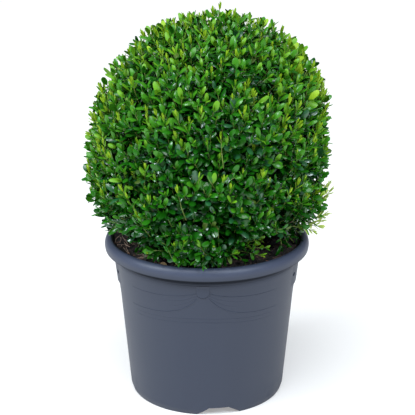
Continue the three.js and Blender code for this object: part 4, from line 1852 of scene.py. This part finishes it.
    def leaves_on(self, shoots: Shoots, random: Random, age: float) -> Leaves:
        """Pairs of leaves along each shoot, each pair set crosswise to the last.

        Args:
            shoots: The shoots.
            random: The generator to draw from.
            age: How many tints older and darker the leaves are than on the outermost shoots: partly age,
                partly painted shade.

        Returns:
            All of their leaves.
        """
        count = len(shoots.tips)
        turn = FULL_TURN * random.random(count)
        fresh = shoots.youth > self.fresh_share
        clipped = shoots.youth < self.clipped_share
        scale = shoots.size * np.clip(varied(random, count, self.scale_spread), *self.scale_limits)
        sets = []
        for number, (clipped_pair, fresh_pair) in enumerate(zip(zip(*self.pairs), zip(*self.fresh_pairs))):
            back, splays, full = (np.where(fresh, young, old) for old, young in zip(clipped_pair, fresh_pair))
            back = back * MM * varied(random, count, self.step_spread)
            shares = 1 - back / shoots.lengths
            grows = (shares > 0.02) & ~(clipped & (number == 0))
            points, along = shoots.at(np.clip(shares, 0, 1))
            first = unit(np.cross(along, UP + 1e-3))
            second = np.cross(along, first)
            for half in (0, math.pi):
                angle = turn + number * math.pi / 2 + half + self.turn_spread * random.normal(size=count)
                out = first * np.cos(angle)[:, None] + second * np.sin(angle)[:, None]
                splay = np.radians(splays * varied(random, count, self.splay_spread))[:, None]
                way = unit(along * np.cos(splay) + out * np.sin(splay))
                face = along * np.sin(splay) - out * np.cos(splay)
                face = face + self.facing[0] * shoots.light + self.facing[1] * random.normal(size=(count, 3))
                face = unit(face - way * np.sum(face * way, axis=1, keepdims=True))
                across = np.cross(way, face)
                length = full * MM * scale * varied(random, count, self.length_spread)
                across = across * varied(random, count, self.broad_spread)[:, None]
                axes = np.stack([across, way, face], axis=2) * length[:, None, None]
                tint = self.tints_of(shoots, number, age, random)
                young = (number == 0) | (fresh & (number < self.young_rows))
                shape = np.where(young, YOUNG_SHAPE, (random.random(count) < 0.5).astype(int))
                sets.append(Leaves(points, axes, tint, shape, shoots.free).select(grows))
        return Leaves.gathered(sets)

    def tints_of(self, shoots: Shoots, number: int, age: float, random: Random) -> Array:
        """The tints of one leaf on each shoot.

        Args:
            shoots: The shoots.
            number: The leaf's pair, from the tip.
            age: How many tints older and darker the leaves are than on the outermost shoots: partly age,
                partly painted shade.
            random: The generator to draw from.

        Returns:
            The number of each leaf's tint.
        """
        count = len(shoots.tips)
        fresh = shoots.youth > self.fresh_share
        steps = self.first_age + self.pair_age * number + shoots.tone + age
        steps = steps + self.tint_spread * random.normal(size=count)
        steps = steps + np.where(fresh, self.fresh_age, self.clipped_age)
        steps = np.where(shoots.free & ~fresh, steps + self.hanging_age, steps)
        tint = np.clip(np.round(steps), 0, OLDEST).astype(int)
        odd = random.random(count)
        tint = np.where((odd < self.bluish_share) & (tint > 2), BLUISH, tint)
        tint = np.where((odd > 1 - self.olive_share) & (tint > 1), OLIVE, tint)
        return np.where((shoots.youth > 1) & (number < self.pale_rows), PALE, tint)

    def open_side(self, azimuths: Array) -> Array:
        """How open the crown's foot is at each azimuth, from 0, where leaves hang to the rim, upwards."""
        return np.interp(azimuths, *self.open_foot)

    def has_room(self, points: Array, free: Array) -> Array:
        """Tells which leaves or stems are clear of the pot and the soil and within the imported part's box.

        Args:
            points: The points of each, as an array of them by points by 3.
            free: True for each that may hang over the soil.

        Returns:
            True for each that has room.
        """
        level = np.hypot(points[..., 0], points[..., 1])
        height = points[..., 2]
        mouth = self.pot.rim_radius - self.pot.rim_width - 3 * MM
        clear = (height > self.lowest_leaf) & ((level < mouth) | (height > self.pot.height + 1 * MM))
        azimuth = np.degrees(np.arctan2(points[..., 0], -points[..., 1]))
        hem = self.hem_rise * self.open_side(azimuth) * smooth_step((level - self.hem_start) / self.hem_width)
        clear = clear & (height > self.lowest_leaf + np.where(free[:, None], 0.0, hem))
        low, high = (np.array(corner) for corner in CAD_BOX)
        inside = np.all((points > low + 0.3 * MM) & (points < high - 0.3 * MM), axis=2)
        return np.all(clear & inside, axis=1)

    def lay_leaves(self, leaves: Leaves) -> None:
        """Makes one piece of each tint's leaves.

        Args:
            leaves: All of the crown's leaves.
        """
        full = [shape.template() for shape in self.shapes]
        plain = [shape.template(self.plain_stations) for shape in self.shapes]
        nodes = [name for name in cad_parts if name.startswith("foliage")]
        for number, tint in enumerate(TINTS):
            heap = Heap()
            for kind, template in enumerate(plain if tint is Tint.DEEP else full):
                some = leaves.select((leaves.tints == number) & (leaves.shapes == kind))
                points = np.einsum("nij,vj->nvi", some.frames, template.points) + some.bases[:, None, :]
                heap.lay(template, points[self.has_room(points, some.free)])
            hand_over(heap.piece(tint.value.name, tint.value.make()), Slot.LEAVES, nodes)

    def build(self) -> tuple[Shoots, ...]:
        """Grows the shoots and lays their leaves, and gives the shoots for the twigs to reach.

        Returns:
            The outer shoots, the inner shoots and the sprigs.
        """
        random = np.random.default_rng(self.seed)
        outer = self.outer_shoots(random)
        inner = self.inner_shoots(random)
        sprigs = self.sprig_shoots(random)
        ages = ((outer, 0.0), (inner, self.inner_age), (sprigs, 0.0))
        self.lay_leaves(Leaves.gathered([self.leaves_on(shoots, random, age) for shoots, age in ages]))
        return outer, inner, sprigs


# ---- the wood


@dataclass
class Wood:
    """The trunk, the boughs, the stems of the masses, and the twigs that branch from them to the shoots."""

    crown: Crown
    seams: Seams
    soil: Soil
    flare_radius: float = 20 * MM
    waist_radius: float = 12.5 * MM
    waist_height: float = 30 * MM
    head_radius: float = 18 * MM
    head_height: float = 52 * MM
    lobes: int = 5
    lobe_depth: float = 2.6 * MM
    lean: float = 4 * MM
    bough_radius: float = 5.2 * MM
    bough_tip: float = 4 * MM
    bough_share: float = 0.37
    stem_share: float = 0.61
    twig_radius: float = 0.7 * MM
    side_polar: float = 92.0
    top_place: tuple = (90.0, 4.0)
    twig_bark: PlantFinish = PlantFinish("twig_bark", (0.072, 0.047, 0.026), 0.8)
    green_stem: PlantFinish = PlantFinish("green_stem", (0.140, 0.210, 0.030), 0.6)

    @property
    def foot(self) -> float:
        """Height at which the trunk leaves the soil."""
        return self.soil.middle_height + 0.3 * MM

    @property
    def fork(self) -> Vector:
        """The middle of the trunk's head."""
        return Vector((self.lean, 0, self.foot + self.head_height))

    def trunk(self) -> Shape:
        """The trunk, from its root flare to the head where it forks.

        Returns:
            A closed bmesh.
        """
        profile = [(0.0, 0.0), (self.flare_radius, 0.0)]
        rows = 26
        for i in range(1, rows + 1):
            share = 1 - (1 - i / rows) ** 2.4
            profile.append((blend(self.flare_radius, self.waist_radius, share), self.waist_height * i / rows))
        head = (self.head_radius, self.head_radius)
        profile += Pot.arc((0.0, self.head_height), head, -40, 86, 13)
        profile.append((0.0, self.head_height + self.head_radius))
        bm = spun(profile, 60)

        def place(point: Vector) -> Vector:
            """Gives the trunk its root lobes, its lean and its cracked bark."""
            low = max(0.0, 1 - point.z / self.waist_height)
            azimuth = math.atan2(point.x, -point.y)
            lobed = 1 + self.lobe_depth / self.flare_radius * low * math.cos(self.lobes * azimuth)
            crack = noise.fractal(Vector((point.x * 260, point.y * 260, point.z * 55)), 0.9, 2.0, 4)
            lobed *= 1 + 0.045 * (crack - 0.6)
            leant = self.lean * point.z / self.head_height
            return Vector((point.x * lobed + leant, point.y * lobed, point.z + self.foot))

        move_each(bm, place)
        return bm

    def limb(self, curve: Sequence[Vector], radius: float, tip_radius: float) -> Shape:
        """A limb along a curve, with cracked bark and a knot here and there.

        Args:
            curve: Points of its centreline.
            radius: At its start.
            tip_radius: At its end.

        Returns:
            A closed bmesh.
        """
        last = len(curve) - 1
        radii = [blend(radius, tip_radius, i / last) for i in range(last + 1)]
        bm = swept(curve, radii, 14)
        bm.normal_update()
        for vertex in bm.verts:
            x, y, z = vertex.co
            crack = noise.fractal(Vector((x * 300, y * 300, z * 150)), 0.9, 2.0, 3)
            vertex.co += vertex.normal * min(0.0, 0.5 * MM * (crack - 0.4))
        return bm

    def limbs_of(self, side: int | None) -> tuple[Shape, Shape, Vector]:
        """The bough and the stem of one mass, and the stem's top, where its twigs start.

        Args:
            side: The side mass's number, or None for the top mass.

        Returns:
            The bough, the stem and the stem's top.
        """
        azimuth, polar = self.top_place if side is None else (side * self.seams.sector, self.side_polar)
        tip = self.crown.point(azimuth, polar, self.bough_share)
        start = self.fork + (tip - self.fork).normalized() * self.head_radius * 0.6
        bend = start.lerp(tip, 0.45)
        if side is not None:
            bend += around(azimuth, 9 * MM, -9 * MM)
        way = (tip - bend).normalized()
        bough = self.limb(bezier(start, bend, tip, 44), self.bough_radius, self.bough_tip)
        foot = tip + way * 0.3 * MM
        top = self.crown.point(azimuth, polar, self.stem_share)
        middle = foot + way * 0.4 * (top - foot).length
        stem = self.limb(bezier(foot, middle, top, 26), self.bough_tip, self.bough_tip * 0.7)
        return bough, stem, top

    def branch(self, start: Array, targets: Array, twigs: list) -> None:
        """Grows twigs from a start to every target.

        A twig parts its targets in two across their widest spread, runs half of the way to the middle of
        each half, and does the same from there, until each branch has one target.

        Args:
            start: Where the twig starts.
            targets: Where its ends have to be.
            twigs: Takes each twig as its start, its end and the number of its targets.
        """
        if len(targets) == 1:
            twigs.append((start, targets[0], 1))
            return
        axis = int(np.argmax(np.ptp(targets, axis=0)))
        ordered = targets[np.argsort(targets[:, axis], kind="stable")]
        half = math.ceil(len(ordered) / 2)
        for group in (ordered[:half], ordered[half:]):
            node = start + 0.5 * (group.mean(axis=0) - start)
            twigs.append((start, node, len(group)))
            self.branch(node, group, twigs)

    def tubes(self, starts: Array, ends: Array, first: Array, last: Array) -> tuple:
        """Three-sided tubes, as a template and the points of its copies.

        Args:
            starts: Where each starts.
            ends: Where each ends.
            first: Radius at each start.
            last: Radius at each end.

        Returns:
            The template and the points.
        """
        bm = bmesh.new()
        bmesh.ops.create_cone(bm, cap_ends=True, segments=3, radius1=1.0, radius2=1.0, depth=1.0)
        bmesh.ops.translate(bm, vec=(0, 0, 0.5), verts=bm.verts[:])
        template = Template.of(bm)
        along = ends - starts
        way = unit(along)
        side = unit(np.cross(way, np.array([0.31, 0.17, 0.93])))
        other = np.cross(way, side)
        x, y, t = template.points.T
        radius = first[:, None] * (1 - t) + last[:, None] * t
        points = starts[:, None, :] + along[:, None, :] * t[None, :, None]
        points = points + side[:, None, :] * (radius * x)[..., None]
        points = points + other[:, None, :] * (radius * y)[..., None]
        return template, points

    def twigs(self, tops: Sequence[Vector], sets: Sequence[Shoots]) -> None:
        """The twigs of every mass, and the green stems of its shoots.

        Args:
            tops: Where each mass's twigs start.
            sets: The shoots that they reach.
        """
        segments: list = []
        for mass, top in enumerate(tops):
            targets = np.concatenate([shoots.roots[shoots.owners == mass] for shoots in sets])
            self.branch(np.array(top), targets, segments)
        starts, ends = (np.array([segment[i] for segment in segments]) for i in (0, 1))
        counts = np.array([segment[2] for segment in segments])
        radius = np.minimum(self.bough_tip * 0.7, self.twig_radius * counts**0.42)
        heap = Heap()
        heap.lay(*self.tubes(starts, ends, radius, radius * 0.92))
        hand_over(heap.piece("twigs", self.twig_bark.make()), Slot.BARK)
        heap = Heap()
        for shoots in sets:
            count = len(shoots.tips)
            roots, middles, tips = (shoots.at(np.full(count, share))[0] for share in (0.0, 0.5, 1.0))
            thick = np.full(count, self.twig_radius)
            heap.lay(*self.tubes(roots, middles, thick * 1.3, thick * 1.05))
            heap.lay(*self.tubes(middles, tips, thick * 1.05, thick * 0.7))
        hand_over(heap.piece("green_stems", self.green_stem.make()), Slot.BARK)

    def build(self, sets: Sequence[Shoots]) -> None:
        """All of the wood, up to the shoots.

        Args:
            sets: The shoots that the twigs reach.
        """
        bark = BarkFinish().make()
        trunk = self.trunk()
        soften(trunk, 70)
        hand_over(piece_from(trunk, "trunk_bark", bark), Slot.BARK, ["trunk"])
        tops = []
        names = ["top", "front", "right", "back_right", "back_left", "left"]
        for name, side in zip(names, [None, *range(self.seams.side_count)]):
            bough, stem, top = self.limbs_of(side)
            limbs = joined([bough, stem])
            soften(limbs, 70)
            hand_over(piece_from(limbs, "limb_" + name, bark), Slot.BARK, ["bough_" + name])
            tops.append(top)
        self.twigs(tops, sets)


# ---- the studio


@dataclass
class Studio:
    """A white floor, soft light from above and both sides, and the camera."""

    camera_place: tuple = (0.001, -2.0, 0.9757)
    pitch: float = 18.5  # degrees down
    focal_length: float = 113.87  # mm
    sensor_width: float = 36.0  # mm
    floor_size: float = 150.0
    aim: tuple = (0, 0, 0.35)
    overhead_azimuth: float = -14.0
    overhead_rise: float = 66.0
    overhead_width: float = 44.0  # degrees
    overhead_power: float = 2.62
    overhead_colour: tuple = (0.93, 0.97, 1.0)
    sky_colour: tuple = (0.88, 0.94, 1.0, 1.0)
    sky_strength: float = 0.28
    # Each softbox: its name, its place, its size, its power in watts and its colour.
    softboxes: tuple = (
        ("left_softbox", (-2.1, -1.1, 1.9), 0.8, 52, (0.82, 0.92, 1.0)),
        ("right_softbox", (1.5, -1.8, 2.05), 0.75, 40, (0.77, 0.88, 1.0)),
    )

    def floor(self) -> None:
        """The floor that the pot stands on."""
        bm = bmesh.new()
        bmesh.ops.create_grid(bm, x_segments=4, y_segments=4, size=self.floor_size)
        piece_from(bm, "studio_floor", FloorFinish().make())

    def light(self, kind: str, name: str, power: float, colour: tuple, toward: Vector) -> Piece:
        """A light that shines from a way, as seen from the plant.

        Args:
            kind: The type of light.
            name: Its name.
            power: Its power.
            colour: Its colour.
            toward: The way from the plant to it.

        Returns:
            The light, at the origin.
        """
        light = bpy.data.lights.new(name, kind)
        light.energy = power
        light.color = colour
        lamp = linked(name, light)
        lamp.rotation_euler = toward.to_track_quat("Z", "Y").to_euler()
        return lamp

    def softbox(self, name: str, place: tuple, size: float, power: float, colour: tuple) -> None:
        """A square soft light that faces the plant.

        Args:
            name: Its name.
            place: Where it is.
            size: Of its side.
            power: In watts.
            colour: Its colour.
        """
        lamp = self.light("AREA", name, power, colour, Vector(place) - Vector(self.aim))
        lamp.location = place
        lamp.data.shape = "SQUARE"
        lamp.data.size = size

    def overhead(self) -> None:
        """The broad soft light from above."""
        rise = math.radians(self.overhead_rise)
        toward = around(self.overhead_azimuth, math.cos(rise), math.sin(rise))
        lamp = self.light("SUN", "overhead", self.overhead_power, self.overhead_colour, toward)
        lamp.data.angle = math.radians(self.overhead_width)

    def sky(self) -> None:
        """The even light of the white room."""
        world = bpy.data.worlds.new("white_room")
        world.use_nodes = True
        background = world.node_tree.nodes["Background"]
        background.inputs["Color"].default_value = self.sky_colour
        background.inputs["Strength"].default_value = self.sky_strength
        bpy.context.scene.world = world

    def camera(self) -> None:
        """The camera, in front of the plant and a little over its top, looking down at it."""
        data = bpy.data.cameras.new("camera")
        data.sensor_width = self.sensor_width
        data.lens = self.focal_length
        camera = linked("camera", data)
        camera.location = self.camera_place
        camera.rotation_euler = (math.radians(90 - self.pitch), 0, 0)
        bpy.context.scene.camera = camera

    def build(self) -> None:
        """Floor, lights, world and camera."""
        self.floor()
        self.sky()
        self.camera()
        self.overhead()
        for softbox in self.softboxes:
            self.softbox(*softbox)
        scene = bpy.context.scene
        scene.view_settings.view_transform = "Standard"
        scene.view_settings.look = "None"


# ---- the whole


def main() -> None:
    """Builds the part, piece by piece, and the studio round it."""
    logging.basicConfig(level=logging.INFO, format="%(message)s")
    pot = Pot()
    pot.build()
    pot.dress()
    soil = Soil(pot)
    soil.build()
    crown = Crown()
    seams = Seams(crown)
    shoots = Foliage(crown, seams, pot).build()
    Wood(crown, seams, soil).build(shoots)
    Studio().build()


if __name__ == "__main__":
    main()
